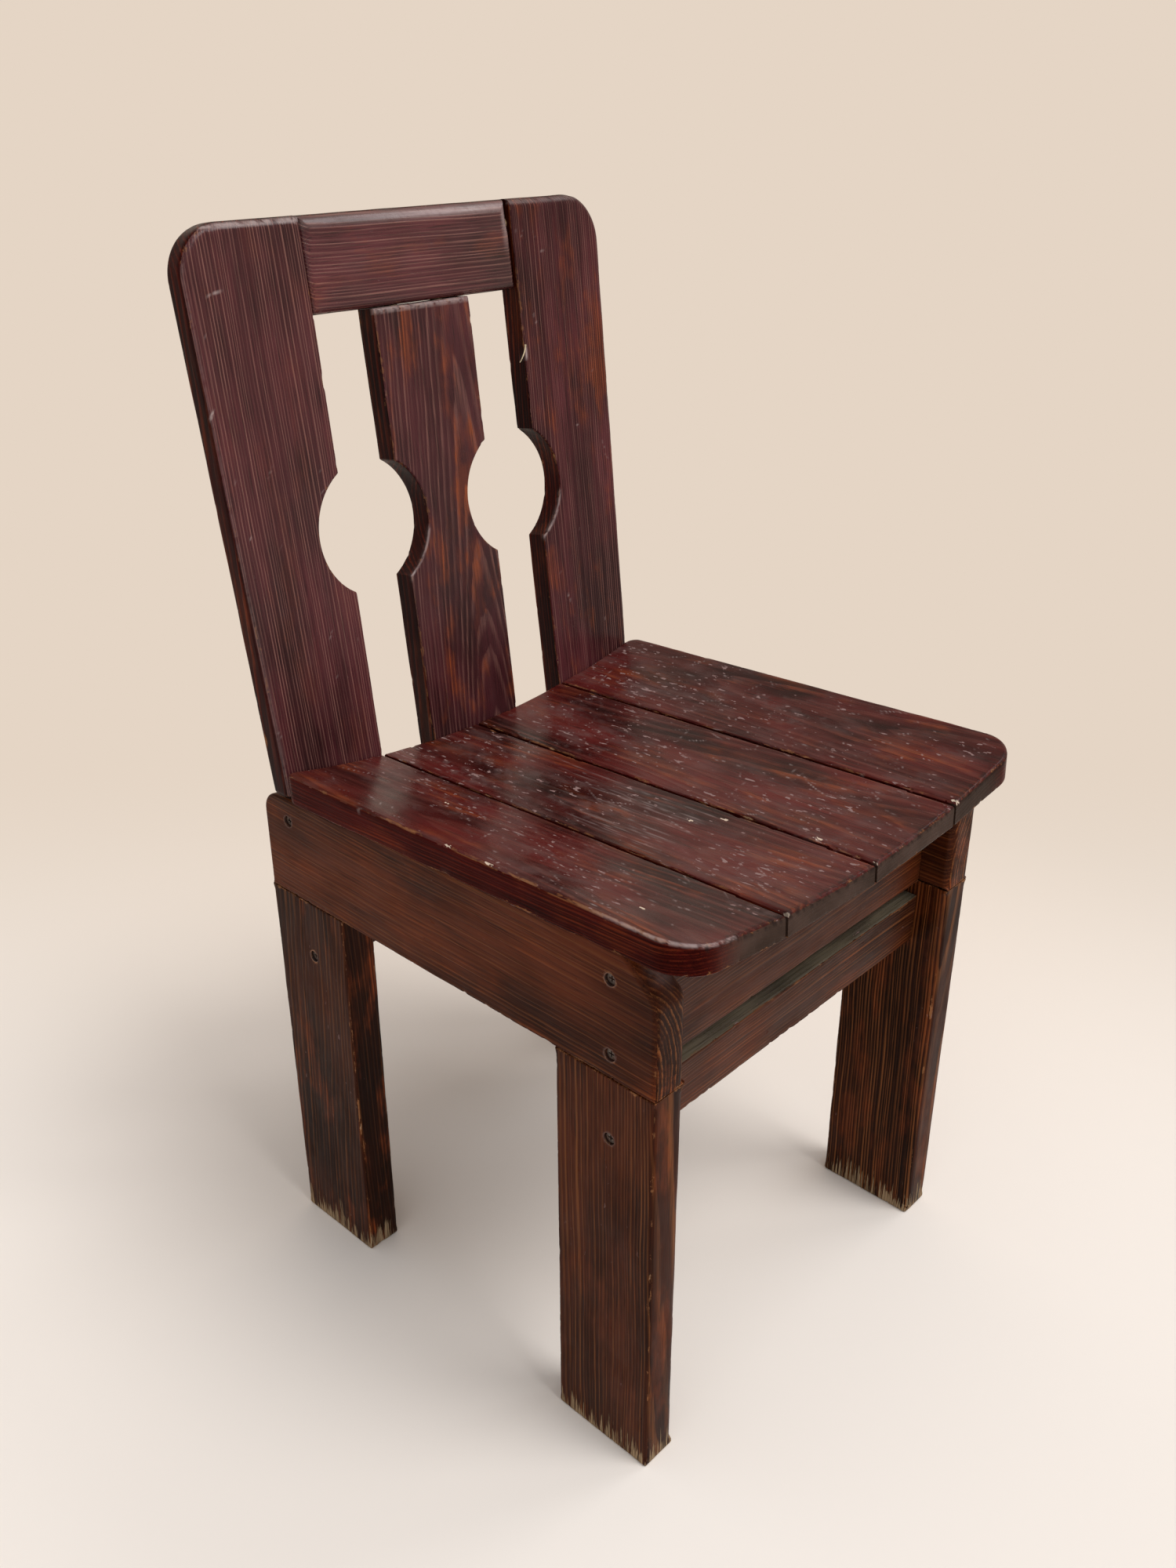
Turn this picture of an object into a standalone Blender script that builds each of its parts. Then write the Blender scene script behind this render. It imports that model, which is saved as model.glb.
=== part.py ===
"""A stained pine side chair with a keyhole back, built the way its maker joined it.

Two side frames of thick planks (an apron on two board legs) are tied by four cross
rails. Four dished seat boards lie on them, and a leaning back of two wide stiles, a
waisted splat and a pillowed top rail stands behind the seat. Metres, +Z up. The chair
faces -Y and stands on Z = 0.
"""

import math

import bmesh
import bpy
from mathutils import Matrix, Vector

# Clearance between pieces that meet, so that their faces never coincide
GAP = 0.0003

# Side frames: an apron plank lying on two board legs, all of one thickness
FRAME_WIDTH = 0.3924
FRAME_DEPTH = 0.411
PLANK_THICKNESS = 0.0305
LEG_WIDTH = 0.0895
APRON_UNDERSIDE = 0.342
APRON_FRONT_CHAMFER = 0.028
APRON_FRONT_RADIUS = 0.016
APRON_BACK_RADIUS = 0.018
APRON_TOP_SPACE = 0.0008
LEG_FRONT_OUTER_ROUND = 0.004
LEG_FRONT_INNER_ROUND = 0.007
LEG_BACK_ROUND = 0.003
FOOT_ROUND = 0.0015
JOINT_EASE = 0.0008

# Cross rails between the side frames
RAIL_THICKNESS = 0.027
RAIL_INSET = 0.026
BACK_RAIL_INSET = 0.034
LOWER_RAIL_UNDERSIDE = 0.2862
LOWER_RAIL_HEIGHT = 0.0418
RAIL_EASE = 0.0012

# Seat: four boards side by side, hollowed across and falling to the back
SEAT_WIDTH = 0.403
SEAT_OVERHANG = 0.0288
SEAT_MIDDLE_HEIGHT = 0.4475
SEAT_MIDDLE_THICKNESS = 0.0169
SEAT_HOLLOW = 0.0241
SEAT_UNDERSIDE_RISE = 0.0164
SEAT_FALL_DEGREES = 2.39
SEAM_WIDTH = 0.0026
SEAM_OFFSET = 0.104
SEAT_FRONT_RADIUS = 0.030
SEAT_BACK_RADIUS = 0.012
SEAT_EDGE_ROUND = 0.0028
SEAT_TOP_FACETS = 6

# Back: boards measured along their lean (V, from the pivot line) and across it (T)
LEAN_DEGREES = 7.25
BACK_PIVOT_INSET = 0.0361
BACK_PIVOT_Z = 0.4472
BACK_TOP = 0.3995
BACK_FOOT = -0.098
BOARD_THICKNESS = 0.0205
STILE_OUTER_AT_SEAT = 0.1975
STILE_OUTER_AT_TOP = 0.2066
STILE_INNER = 0.1033
STILE_CORNER_RADIUS = 0.037
STILE_TOP_ROUND = 0.008
STILE_OUTER_ROUND = 0.0055
BOARD_BACK_ROUND = 0.0035
SLOT_EDGE_ROUND = 0.0018
SPLAT_WIDTH = 0.097
SPLAT_TOP_CHAMFER = 0.003
KEYHOLE_HEIGHT = 0.1713
KEYHOLE_RADIUS = 0.0535
TOP_RAIL_UNDERSIDE = 0.3306
TOP_RAIL_RECESS = 0.0012
TOP_RAIL_TOP_ROUND = 0.010
TOP_RAIL_END_ROUND = 0.006
TOP_RAIL_UNDER_ROUND = 0.006

# Dowels: length is the whole dowel, half in each piece unless its joint says otherwise
DOWEL_RADIUS = 0.005
LEG_DOWEL_LENGTH = 0.050
TOP_RAIL_DOWEL_LENGTH = 0.040
TOP_RAIL_DOWEL_SPACING = 0.032
SEAT_DOWEL_SEAM_SHARES = (0.5, 1.2)
SEAT_DOWEL_IN_BOARD = 0.009
SEAT_DOWEL_IN_RAIL = 0.018
SPLAT_DOWEL_SPACING = 0.046
HOLE_END_SPACE = 0.001

# Wood screws: countersunk heads sunk below the surface
SCREW_SHANK_RADIUS = 0.0022
SCREW_HEAD_RADIUS = 0.0042
SCREW_HEAD_HEIGHT = 0.0026
SCREW_SUNK = 0.0022
SCREW_LENGTH = 0.055
BACK_SCREW_LENGTH = 0.036
SCREW_RECESS_WIDTH = 0.0011
SCREW_RECESS_SPAN = 0.0046
SCREW_RECESS_DEPTH = 0.0014
COUNTERBORE_RADIUS = 0.0047
UPPER_SCREW_HEIGHTS = (0.4195, 0.3606)
BACK_APRON_SCREW_HEIGHT = 0.409
LOWER_SCREW_HEIGHT = 0.291
BACK_SCREW_V = -0.070
BACK_SCREW_SPREAD = 0.014

ARC_STEPS = 8
ROUND_STEPS = 3
ROUND_SIDES = 12

# Values that follow from the sizes above
SIDE_OUTER = FRAME_WIDTH / 2
SIDE_INNER = SIDE_OUTER - PLANK_THICKNESS
SIDE_CENTRE = SIDE_OUTER - PLANK_THICKNESS / 2
RAIL_LENGTH = 2 * (SIDE_INNER - GAP)
LEAN = math.radians(LEAN_DEGREES)
SEAT_FALL = math.radians(SEAT_FALL_DEGREES)
SPLAT_HALF = SPLAT_WIDTH / 2
KEYHOLE_CENTRE = (STILE_INNER + SPLAT_HALF) / 2
SEAT_EDGE = SEAT_WIDTH / 2
FRONT_RAIL_CENTRE = RAIL_INSET + RAIL_THICKNESS / 2
BACK_RAIL_CENTRE = FRAME_DEPTH - BACK_RAIL_INSET - RAIL_THICKNESS / 2
BACK_PIVOT_Y = FRAME_DEPTH - BACK_PIVOT_INSET
BACK_REACH = (
    BACK_PIVOT_Y
    + (BACK_TOP - BOARD_BACK_ROUND) * math.sin(LEAN)
    + (BOARD_THICKNESS - BOARD_BACK_ROUND) * math.cos(LEAN)
    + BOARD_BACK_ROUND
)
FRONT_REACH = SEAT_OVERHANG * math.cos(SEAT_FALL) + (
    SEAT_MIDDLE_THICKNESS - SEAT_EDGE_ROUND
) * math.sin(SEAT_FALL)
MIDDLE_Y = (BACK_REACH - FRONT_REACH) / 2

# Finishes: name, colour, roughness, metallic
FINISHES = {
    "stained_pine_back": ((0.105, 0.032, 0.026, 1.0), 0.35, 0.0),
    "stained_pine_frame": ((0.075, 0.028, 0.016, 1.0), 0.42, 0.0),
    "stained_pine_seat": ((0.085, 0.018, 0.016, 1.0), 0.30, 0.0),
    "beech_dowel": ((0.55, 0.38, 0.22, 1.0), 0.60, 0.0),
    "dark_screw_steel": ((0.06, 0.055, 0.05, 1.0), 0.45, 1.0),
}


def clear_scene():
    """Remove every object, and the collections of an earlier run."""
    for item in list(bpy.data.objects):
        bpy.data.objects.remove(item, do_unlink=True)
    for group in list(bpy.data.collections):
        bpy.data.collections.remove(group)


def make_collection(name):
    group = bpy.data.collections.new(name)
    bpy.context.scene.collection.children.link(group)
    return group


def make_finish(name):
    colour, roughness, metallic = FINISHES[name]
    finish = bpy.data.materials.new(name)
    finish.use_nodes = True
    shader = finish.node_tree.nodes["Principled BSDF"]
    shader.inputs["Base Color"].default_value = colour
    shader.inputs["Roughness"].default_value = roughness
    shader.inputs["Metallic"].default_value = metallic
    return finish


class Workshop:
    """The collections, finishes and parent empties that the pieces share."""

    def __init__(self):
        self.parts = make_collection("keyhole_chair")
        self.cutters = make_collection("keyhole_chair_cutters")
        self.finishes = {name: make_finish(name) for name in FINISHES}
        self.chair = self.add_empty("chair_origin", None, (0, -MIDDLE_Y, 0), 0)
        self.back = self.add_empty("back_lean", self.chair, (0, BACK_PIVOT_Y, BACK_PIVOT_Z), -LEAN)
        self.seat = self.add_empty("seat_fall", self.chair, (0, 0, SEAT_MIDDLE_HEIGHT), -SEAT_FALL)

    def add_empty(self, name, parent, place, turn):
        empty = bpy.data.objects.new(name, None)
        empty.location = place
        empty.rotation_euler = (turn, 0, 0)
        empty.parent = parent
        self.parts.objects.link(empty)
        return empty

    def add_part(self, name, mesh, finish, parent=None, place=(0, 0, 0), turn=(0, 0, 0)):
        part = bpy.data.objects.new(name, mesh)
        mesh.materials.clear()
        mesh.materials.append(self.finishes[finish])
        part.parent = parent or self.chair
        part.location = place
        part.rotation_euler = turn
        self.parts.objects.link(part)
        return part

    def add_cutter(self, name, mesh, parent=None, place=(0, 0, 0), turn=(0, 0, 0)):
        cutter = bpy.data.objects.new(name, mesh)
        cutter.parent = parent or self.chair
        cutter.location = place
        cutter.rotation_euler = turn
        cutter.hide_render = True
        cutter.display_type = "WIRE"
        self.cutters.objects.link(cutter)
        return cutter


def arc(centre, radius, start, end, steps=ARC_STEPS):
    """Points on a circle from one angle to another, in degrees, both ends included."""
    turns = [math.radians(start + (end - start) * i / steps) for i in range(steps + 1)]
    return [(centre[0] + radius * math.cos(a), centre[1] + radius * math.sin(a)) for a in turns]


def filleted(corners):
    """A closed outline through corners (x, y, radius), each rounded by its own radius."""
    outline = []
    for i, (x, y, radius) in enumerate(corners):
        if radius == 0:
            outline.append((x, y))
            continue
        corner = Vector((x, y))
        before = (Vector(corners[i - 1][:2]) - corner).normalized()
        after = (Vector(corners[(i + 1) % len(corners)][:2]) - corner).normalized()
        half = before.angle(after) / 2
        centre = corner + (before + after).normalized() * radius / math.sin(half)
        first = corner + before * radius / math.tan(half) - centre
        last = corner + after * radius / math.tan(half) - centre
        turn = first.angle_signed(last)
        for step in range(ARC_STEPS + 1):
            spoke = first.copy()
            spoke.rotate(Matrix.Rotation(-turn * step / ARC_STEPS, 2))
            outline.append(tuple(centre + spoke))
    return outline


def plate_mesh(name, outline, thickness):
    """A flat outline in XY, thickened evenly about Z = 0, as one closed mesh."""
    curve = bpy.data.curves.new(name, "CURVE")
    curve.dimensions = "2D"
    curve.fill_mode = "BOTH"
    curve.extrude = thickness / 2
    spline = curve.splines.new("POLY")
    spline.points.add(len(outline) - 1)
    for point, (x, y) in zip(spline.points, outline):
        point.co = (x, y, 0, 1)
    spline.use_cyclic_u = True
    holder = bpy.data.objects.new(name, curve)
    bpy.context.scene.collection.objects.link(holder)
    bpy.context.view_layer.update()
    evaluated = holder.evaluated_get(bpy.context.evaluated_depsgraph_get())
    mesh = bpy.data.meshes.new_from_object(evaluated)
    mesh.name = name
    bpy.data.objects.remove(holder, do_unlink=True)
    work = bmesh.new()
    work.from_mesh(mesh)
    bmesh.ops.remove_doubles(work, verts=work.verts, dist=0.00001)
    bmesh.ops.dissolve_limit(work, angle_limit=0.001, verts=work.verts, edges=work.edges)
    bmesh.ops.recalc_face_normals(work, faces=work.faces)
    work.to_mesh(mesh)
    work.free()
    return mesh


def box_mesh(name, size):
    """A box of the given size about its own centre."""
    mesh = bpy.data.meshes.new(name)
    work = bmesh.new()
    bmesh.ops.create_cube(work, size=1)
    bmesh.ops.scale(work, vec=size, verts=work.verts)
    work.to_mesh(mesh)
    work.free()
    return mesh


def smooth_round(mesh):
    """Shade a round piece smooth, with its flat ends and sharp corners kept."""
    mesh.shade_smooth()
    mesh.set_sharp_from_angle(angle=math.radians(35))


def pin_mesh(name, radius, length):
    """A round pin about its own centre, lying along Z."""
    mesh = bpy.data.meshes.new(name)
    work = bmesh.new()
    bmesh.ops.create_cone(
        work, cap_ends=True, segments=ROUND_SIDES, radius1=radius, radius2=radius, depth=length
    )
    work.to_mesh(mesh)
    work.free()
    smooth_round(mesh)
    return mesh


def round_by_edge(part, radius_of):
    """Bevel each edge by the radius that radius_of gives for its middle and direction."""
    mesh = part.data
    radii = []
    for edge in mesh.edges:
        start = mesh.vertices[edge.vertices[0]].co
        end = mesh.vertices[edge.vertices[1]].co
        radii.append(radius_of((start + end) / 2, (end - start).normalized()))
    largest = max(radii)
    weights = mesh.attributes.new("bevel_weight_edge", "FLOAT", "EDGE")
    for slot, radius in zip(weights.data, radii):
        slot.value = radius / largest
    bevel = part.modifiers.new("rounded_edges", "BEVEL")
    bevel.limit_method = "WEIGHT"
    bevel.width = largest
    bevel.segments = ROUND_STEPS
    bevel.use_clamp_overlap = False


def round_sharp(part, radius):
    """Bevel every edge that turns by more than 35 degrees."""
    bevel = part.modifiers.new("rounded_edges", "BEVEL")
    bevel.limit_method = "ANGLE"
    bevel.angle_limit = math.radians(35)
    bevel.width = radius
    bevel.segments = ROUND_STEPS
    bevel.use_clamp_overlap = False


def cut(part, cutter, operation="DIFFERENCE"):
    step = part.modifiers.new(cutter.name, "BOOLEAN")
    step.operation = operation
    step.solver = "EXACT"
    step.object = cutter


def joined(name, meshes_and_moves):
    """One mesh of several separate bodies, each moved by its own matrix."""
    mesh = bpy.data.meshes.new(name)
    work = bmesh.new()
    for source, matrix in meshes_and_moves:
        copy = source.copy()
        copy.transform(matrix)
        work.from_mesh(copy)
        bpy.data.meshes.remove(copy)
    work.to_mesh(mesh)
    work.free()
    return mesh


def seat_underside(x):
    """Height of the seat's underside over the seat's pivot, straight under each board."""
    at_seam = SEAT_UNDERSIDE_RISE * (SEAM_OFFSET / SEAT_EDGE) ** 2
    x = abs(x)
    if x <= SEAM_OFFSET:
        return at_seam * x / SEAM_OFFSET - SEAT_MIDDLE_THICKNESS
    share = (x - SEAM_OFFSET) / (SEAT_EDGE - SEAM_OFFSET)
    return at_seam + (SEAT_UNDERSIDE_RISE - at_seam) * share - SEAT_MIDDLE_THICKNESS


def seat_top(x):
    """Height of the hollowed seat over its pivot, at the middle of its front."""
    return SEAT_HOLLOW * (x / SEAT_EDGE) ** 2


def stile_outer(v):
    """Half width of the back at V, which widens a little towards the top."""
    return STILE_OUTER_AT_SEAT + (STILE_OUTER_AT_TOP - STILE_OUTER_AT_SEAT) * v / BACK_TOP


def keyhole_half_angle():
    """Half the angle of a keyhole circle that lies in one board, in degrees."""
    return math.degrees(math.acos((STILE_INNER - KEYHOLE_CENTRE) / KEYHOLE_RADIUS))


def turned_mesh(name, profile):
    """A profile of (radius, height), from the top down, turned about Z."""
    mesh = bpy.data.meshes.new(name)
    points = [(radius, 0, height) for radius, height in profile]
    mesh.from_pydata(points, [(i, i + 1) for i in range(len(points) - 1)], [])
    holder = bpy.data.objects.new(name, mesh)
    bpy.context.scene.collection.objects.link(holder)
    screw = holder.modifiers.new("turned", "SCREW")
    screw.axis = "Z"
    screw.steps = ROUND_SIDES
    screw.render_steps = ROUND_SIDES
    screw.use_merge_vertices = True
    screw.merge_threshold = 0.00001
    bpy.context.view_layer.update()
    evaluated = holder.evaluated_get(bpy.context.evaluated_depsgraph_get())
    turned = bpy.data.meshes.new_from_object(evaluated)
    turned.name = name
    bpy.data.objects.remove(holder, do_unlink=True)
    work = bmesh.new()
    work.from_mesh(turned)
    bmesh.ops.remove_doubles(work, verts=work.verts, dist=0.000001)
    bmesh.ops.recalc_face_normals(work, faces=work.faces)
    work.to_mesh(turned)
    work.free()
    return turned


SIDEWAYS = (math.pi / 2, 0, math.pi / 2)
UPRIGHT = (math.pi / 2, 0, 0)
SIDE_NAMES = {-1: "left", 1: "right"}


def make_under_seat_cutter(shop):
    """Everything above the seat's underside, less the clearance, which trims what carries it."""
    reach = SEAT_WIDTH
    stations = (-reach, -SEAM_OFFSET, 0, SEAM_OFFSET, reach)
    outline = [(x, seat_underside(x) - GAP) for x in stations]
    outline += [(reach, SEAT_WIDTH), (-reach, SEAT_WIDTH)]
    mesh = plate_mesh("under_seat_cut", outline, 3 * FRAME_DEPTH)
    return shop.add_cutter("under_seat_cut", mesh, shop.seat, turn=UPRIGHT)


def make_back_plane_cutter(shop):
    """Everything behind the front faces of the back boards, less the clearance."""
    depth = FRAME_DEPTH
    mesh = box_mesh("back_plane_cut", (2 * SEAT_WIDTH, depth, 2 * BACK_TOP))
    return shop.add_cutter("back_plane_cut", mesh, shop.back, place=(0, depth / 2 - GAP, 0))


def make_shoulder_cutter(shop, side):
    """The room that an apron takes from the foot of a stile, with its clearance."""
    inner = SIDE_INNER - GAP
    outer = SEAT_WIDTH
    low = -SEAT_MIDDLE_HEIGHT
    outline = [
        (side * inner, low),
        (side * outer, low),
        (side * outer, seat_underside(outer)),
        (side * inner, seat_underside(inner)),
    ]
    name = f"shoulder_cut_{SIDE_NAMES[side]}"
    mesh = plate_mesh(name, outline, FRAME_DEPTH)
    return shop.add_cutter(name, mesh, shop.seat, place=(0, FRAME_DEPTH, 0), turn=UPRIGHT)


ALONG_X = Matrix.Rotation(math.pi / 2, 4, "Y")
ALONG_Y = Matrix.Rotation(-math.pi / 2, 4, "X")
ALONG_Z = Matrix.Identity(4)


def add_alike(shop, name, mesh, finish, parent, moves):
    """Separate pieces of one shape, numbered from 1, each placed by its own matrix."""
    for number, move in enumerate(moves, start=1):
        place, turn = move.to_translation(), move.to_euler()
        shop.add_part(f"{name}_{number}", mesh, finish, parent, place, turn)


def add_holes(shop, name, mesh, parent, moves):
    """One cutter for the holes of a group of like pieces."""
    mesh = joined(name + "_holes", [(mesh, move) for move in moves])
    return shop.add_cutter(name + "_holes", mesh, parent)


def leg_dowel_places():
    places = []
    for side in (-1, 1):
        for centre in (LEG_WIDTH / 2, FRAME_DEPTH - LEG_WIDTH / 2):
            for offset in (-LEG_WIDTH / 4, LEG_WIDTH / 4):
                places.append((side * SIDE_CENTRE, centre + offset, APRON_UNDERSIDE))
    return places


def seat_dowel_places():
    """Middle of each seat dowel, in the seat's own frame, over the front and back rails."""
    back_rail_y = BACK_PIVOT_Y - (RAIL_THICKNESS / 2 + GAP) * math.cos(LEAN)
    places = []
    for share in SEAT_DOWEL_SEAM_SHARES:
        x = SEAM_OFFSET * share
        for y in (FRONT_RAIL_CENTRE, back_rail_y):
            middle = seat_underside(x) + (SEAT_DOWEL_IN_BOARD - SEAT_DOWEL_IN_RAIL) / 2
            places += [(x, y, middle), (-x, y, middle)]
    return places


def make_dowels(shop):
    """All hidden dowels, and a cutter for the holes of each group."""
    holes = {}
    middle_v = (BACK_TOP + TOP_RAIL_UNDERSIDE) / 2
    rail_t = (TOP_RAIL_RECESS + BOARD_THICKNESS) / 2
    end_places = [
        (side * STILE_INNER, rail_t, middle_v + offset)
        for side in (-1, 1)
        for offset in (-TOP_RAIL_DOWEL_SPACING / 2, TOP_RAIL_DOWEL_SPACING / 2)
    ]
    splat_places = [
        (side * SPLAT_DOWEL_SPACING / 2, rail_t, TOP_RAIL_UNDERSIDE) for side in (-1, 1)
    ]
    seat_length = SEAT_DOWEL_IN_BOARD + SEAT_DOWEL_IN_RAIL
    groups = (
        ("leg_dowel", shop.chair, LEG_DOWEL_LENGTH, leg_dowel_places(), ALONG_Z),
        ("top_rail_dowel", shop.back, TOP_RAIL_DOWEL_LENGTH, end_places, ALONG_X),
        ("splat_dowel", shop.back, TOP_RAIL_DOWEL_LENGTH, splat_places, ALONG_Z),
        ("seat_dowel", shop.seat, seat_length, seat_dowel_places(), ALONG_Z),
    )
    for name, parent, length, places, turn in groups:
        moves = [Matrix.Translation(place) @ turn for place in places]
        dowel = pin_mesh(name, DOWEL_RADIUS, length)
        add_alike(shop, name, dowel, "beech_dowel", parent, moves)
        hole = pin_mesh("dowel_hole", DOWEL_RADIUS + GAP, length + 2 * HOLE_END_SPACE)
        holes[name] = add_holes(shop, name, hole, parent, moves)
    return holes


def screw_mesh(shop, length):
    """A countersunk wood screw whose head's top is at the origin, with a crossed recess."""
    rim = SCREW_HEAD_HEIGHT / 4
    taper = 3 * SCREW_SHANK_RADIUS
    profile = [
        (0, 0),
        (SCREW_HEAD_RADIUS, 0),
        (SCREW_HEAD_RADIUS, -rim),
        (SCREW_SHANK_RADIUS, -SCREW_HEAD_HEIGHT),
        (SCREW_SHANK_RADIUS, taper - length),
        (0, -length),
    ]
    blank = shop.add_cutter("screw_blank", turned_mesh("screw_blank", profile))
    for turn in (0, math.pi / 2):
        bar = box_mesh("recess_bar", (SCREW_RECESS_SPAN, SCREW_RECESS_WIDTH, 2 * SCREW_RECESS_DEPTH))
        cut(blank, shop.add_cutter("recess_bar", bar, turn=(0, 0, turn)))
    bpy.context.view_layer.update()
    evaluated = blank.evaluated_get(bpy.context.evaluated_depsgraph_get())
    mesh = bpy.data.meshes.new_from_object(evaluated)
    smooth_round(mesh)
    return mesh


def screw_hole_mesh(length):
    """The counterbore, countersink and shank hole of a screw, from the surface down."""
    rim = SCREW_HEAD_HEIGHT / 4
    head_top = -SCREW_SUNK
    shank = SCREW_SHANK_RADIUS + GAP
    profile = [
        (0, SCREW_HEAD_HEIGHT),
        (COUNTERBORE_RADIUS, SCREW_HEAD_HEIGHT),
        (COUNTERBORE_RADIUS, head_top - rim - GAP),
        (shank, head_top - SCREW_HEAD_HEIGHT - 2 * GAP),
        (shank, head_top - length - HOLE_END_SPACE),
        (0, head_top - length - HOLE_END_SPACE),
    ]
    return turned_mesh("screw_hole", profile)


def make_screw_group(shop, name, length, moves, parent):
    """Screws at the given surface matrices, and the cutter for their holes."""
    sunk = Matrix.Translation((0, 0, -SCREW_SUNK))
    sunk_moves = [move @ sunk for move in moves]
    add_alike(shop, name, screw_mesh(shop, length), "dark_screw_steel", parent, sunk_moves)
    return add_holes(shop, name, screw_hole_mesh(length), parent, moves)


def side_screw_moves(side):
    """Where each screw of a side frame meets the outer face, its head pointing outwards."""
    back_y = BACK_PIVOT_Y + (BACK_APRON_SCREW_HEIGHT - BACK_PIVOT_Z) * math.tan(LEAN)
    stile_centre_y = back_y + BOARD_THICKNESS / 2 / math.cos(LEAN)
    places = [(FRONT_RAIL_CENTRE, height) for height in UPPER_SCREW_HEIGHTS]
    places.append((stile_centre_y, BACK_APRON_SCREW_HEIGHT))
    places += [(y, LOWER_SCREW_HEIGHT) for y in (FRONT_RAIL_CENTRE, BACK_RAIL_CENTRE)]
    outward = Matrix.Rotation(side * math.pi / 2, 4, "Y")
    return [Matrix.Translation((side * SIDE_OUTER, y, z)) @ outward for y, z in places]


def back_screw_moves():
    """Where each screw through the foot of a back board meets its rear face."""
    stile_x = (STILE_INNER + SIDE_INNER) / 2
    places = [
        (side * stile_x, BACK_SCREW_V + offset)
        for side in (-1, 1)
        for offset in (-BACK_SCREW_SPREAD, BACK_SCREW_SPREAD)
    ]
    places += [(side * SPLAT_HALF / 2, BACK_SCREW_V) for side in (-1, 1)]
    return [Matrix.Translation((x, BOARD_THICKNESS, v)) @ ALONG_Y for x, v in places]


def make_apron(shop, side):
    """A side apron: chamfered and softened at the front, rounded at the back, trimmed to the seat."""
    top_front = SEAT_MIDDLE_HEIGHT + seat_underside(SIDE_OUTER) - APRON_TOP_SPACE
    top_back = top_front - FRAME_DEPTH * math.tan(SEAT_FALL)
    corners = [
        (0, APRON_UNDERSIDE, 0),
        (FRAME_DEPTH, APRON_UNDERSIDE, 0),
        (FRAME_DEPTH, top_back, APRON_BACK_RADIUS),
        (APRON_FRONT_CHAMFER, top_front - APRON_FRONT_CHAMFER * math.tan(SEAT_FALL), APRON_FRONT_RADIUS),
        (0, top_front - APRON_FRONT_CHAMFER, APRON_FRONT_RADIUS),
    ]
    name = f"{SIDE_NAMES[side]}_apron"
    mesh = plate_mesh(name, filleted(corners), PLANK_THICKNESS)
    apron = shop.add_part(
        name, mesh, "stained_pine_frame", place=(side * SIDE_CENTRE, 0, 0), turn=SIDEWAYS
    )

    def radius_of(middle, direction):
        if abs(direction.z) > 0.5:
            return 0
        return JOINT_EASE if middle.y < APRON_UNDERSIDE + GAP else LEG_BACK_ROUND

    round_by_edge(apron, radius_of)
    return apron


def make_leg(shop, side, end, centre_y):
    """A board leg under its apron, rounded most on its front corners."""
    height = APRON_UNDERSIDE - GAP
    name = f"{end}_{SIDE_NAMES[side]}_leg"
    mesh = box_mesh(name, (PLANK_THICKNESS, LEG_WIDTH, height))
    place = (side * SIDE_CENTRE, centre_y, height / 2)
    leg = shop.add_part(name, mesh, "stained_pine_frame", place=place)

    def radius_of(middle, direction):
        if abs(direction.z) < 0.5:
            return FOOT_ROUND if middle.z < 0 else JOINT_EASE
        if end == "back" or middle.y > 0:
            return LEG_BACK_ROUND
        return LEG_FRONT_OUTER_ROUND if middle.x * side > 0 else LEG_FRONT_INNER_ROUND

    round_by_edge(leg, radius_of)
    return leg


def make_cross_rail(shop, name, centre_y, underside, top):
    """A straight rail between the side frames, its long edges eased."""
    size = (RAIL_LENGTH, RAIL_THICKNESS, top - underside)
    place = (0, centre_y, (top + underside) / 2)
    rail = shop.add_part(name, box_mesh(name, size), "stained_pine_frame", place=place)
    round_by_edge(rail, lambda middle, direction: RAIL_EASE if abs(direction.x) > 0.5 else 0)
    return rail


def make_side_frames(shop, under_seat, holes):
    """Both side frames with their cross rails, bored for dowels and screws."""
    screw_holes = {
        side: make_screw_group(
            shop, f"{SIDE_NAMES[side]}_side_screw", SCREW_LENGTH, side_screw_moves(side), shop.chair
        )
        for side in (-1, 1)
    }
    upper_top = SEAT_MIDDLE_HEIGHT
    lower_top = LOWER_RAIL_UNDERSIDE + LOWER_RAIL_HEIGHT
    front_upper = make_cross_rail(
        shop, "front_upper_rail", FRONT_RAIL_CENTRE, APRON_UNDERSIDE, upper_top
    )
    cut(front_upper, under_seat)
    cut(front_upper, holes["seat_dowel"])
    front_lower = make_cross_rail(
        shop, "front_lower_rail", FRONT_RAIL_CENTRE, LOWER_RAIL_UNDERSIDE, lower_top
    )
    back_lower = make_cross_rail(
        shop, "back_lower_rail", BACK_RAIL_CENTRE, LOWER_RAIL_UNDERSIDE, lower_top
    )
    for side in (-1, 1):
        apron = make_apron(shop, side)
        cut(apron, under_seat)
        cut(apron, holes["leg_dowel"])
        cut(apron, screw_holes[side])
        for end, centre_y in (("front", LEG_WIDTH / 2), ("back", FRAME_DEPTH - LEG_WIDTH / 2)):
            leg = make_leg(shop, side, end, centre_y)
            cut(leg, holes["leg_dowel"])
            cut(leg, screw_holes[side])
        for rail in (front_upper, front_lower, back_lower):
            cut(rail, screw_holes[side])
    return screw_holes


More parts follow.
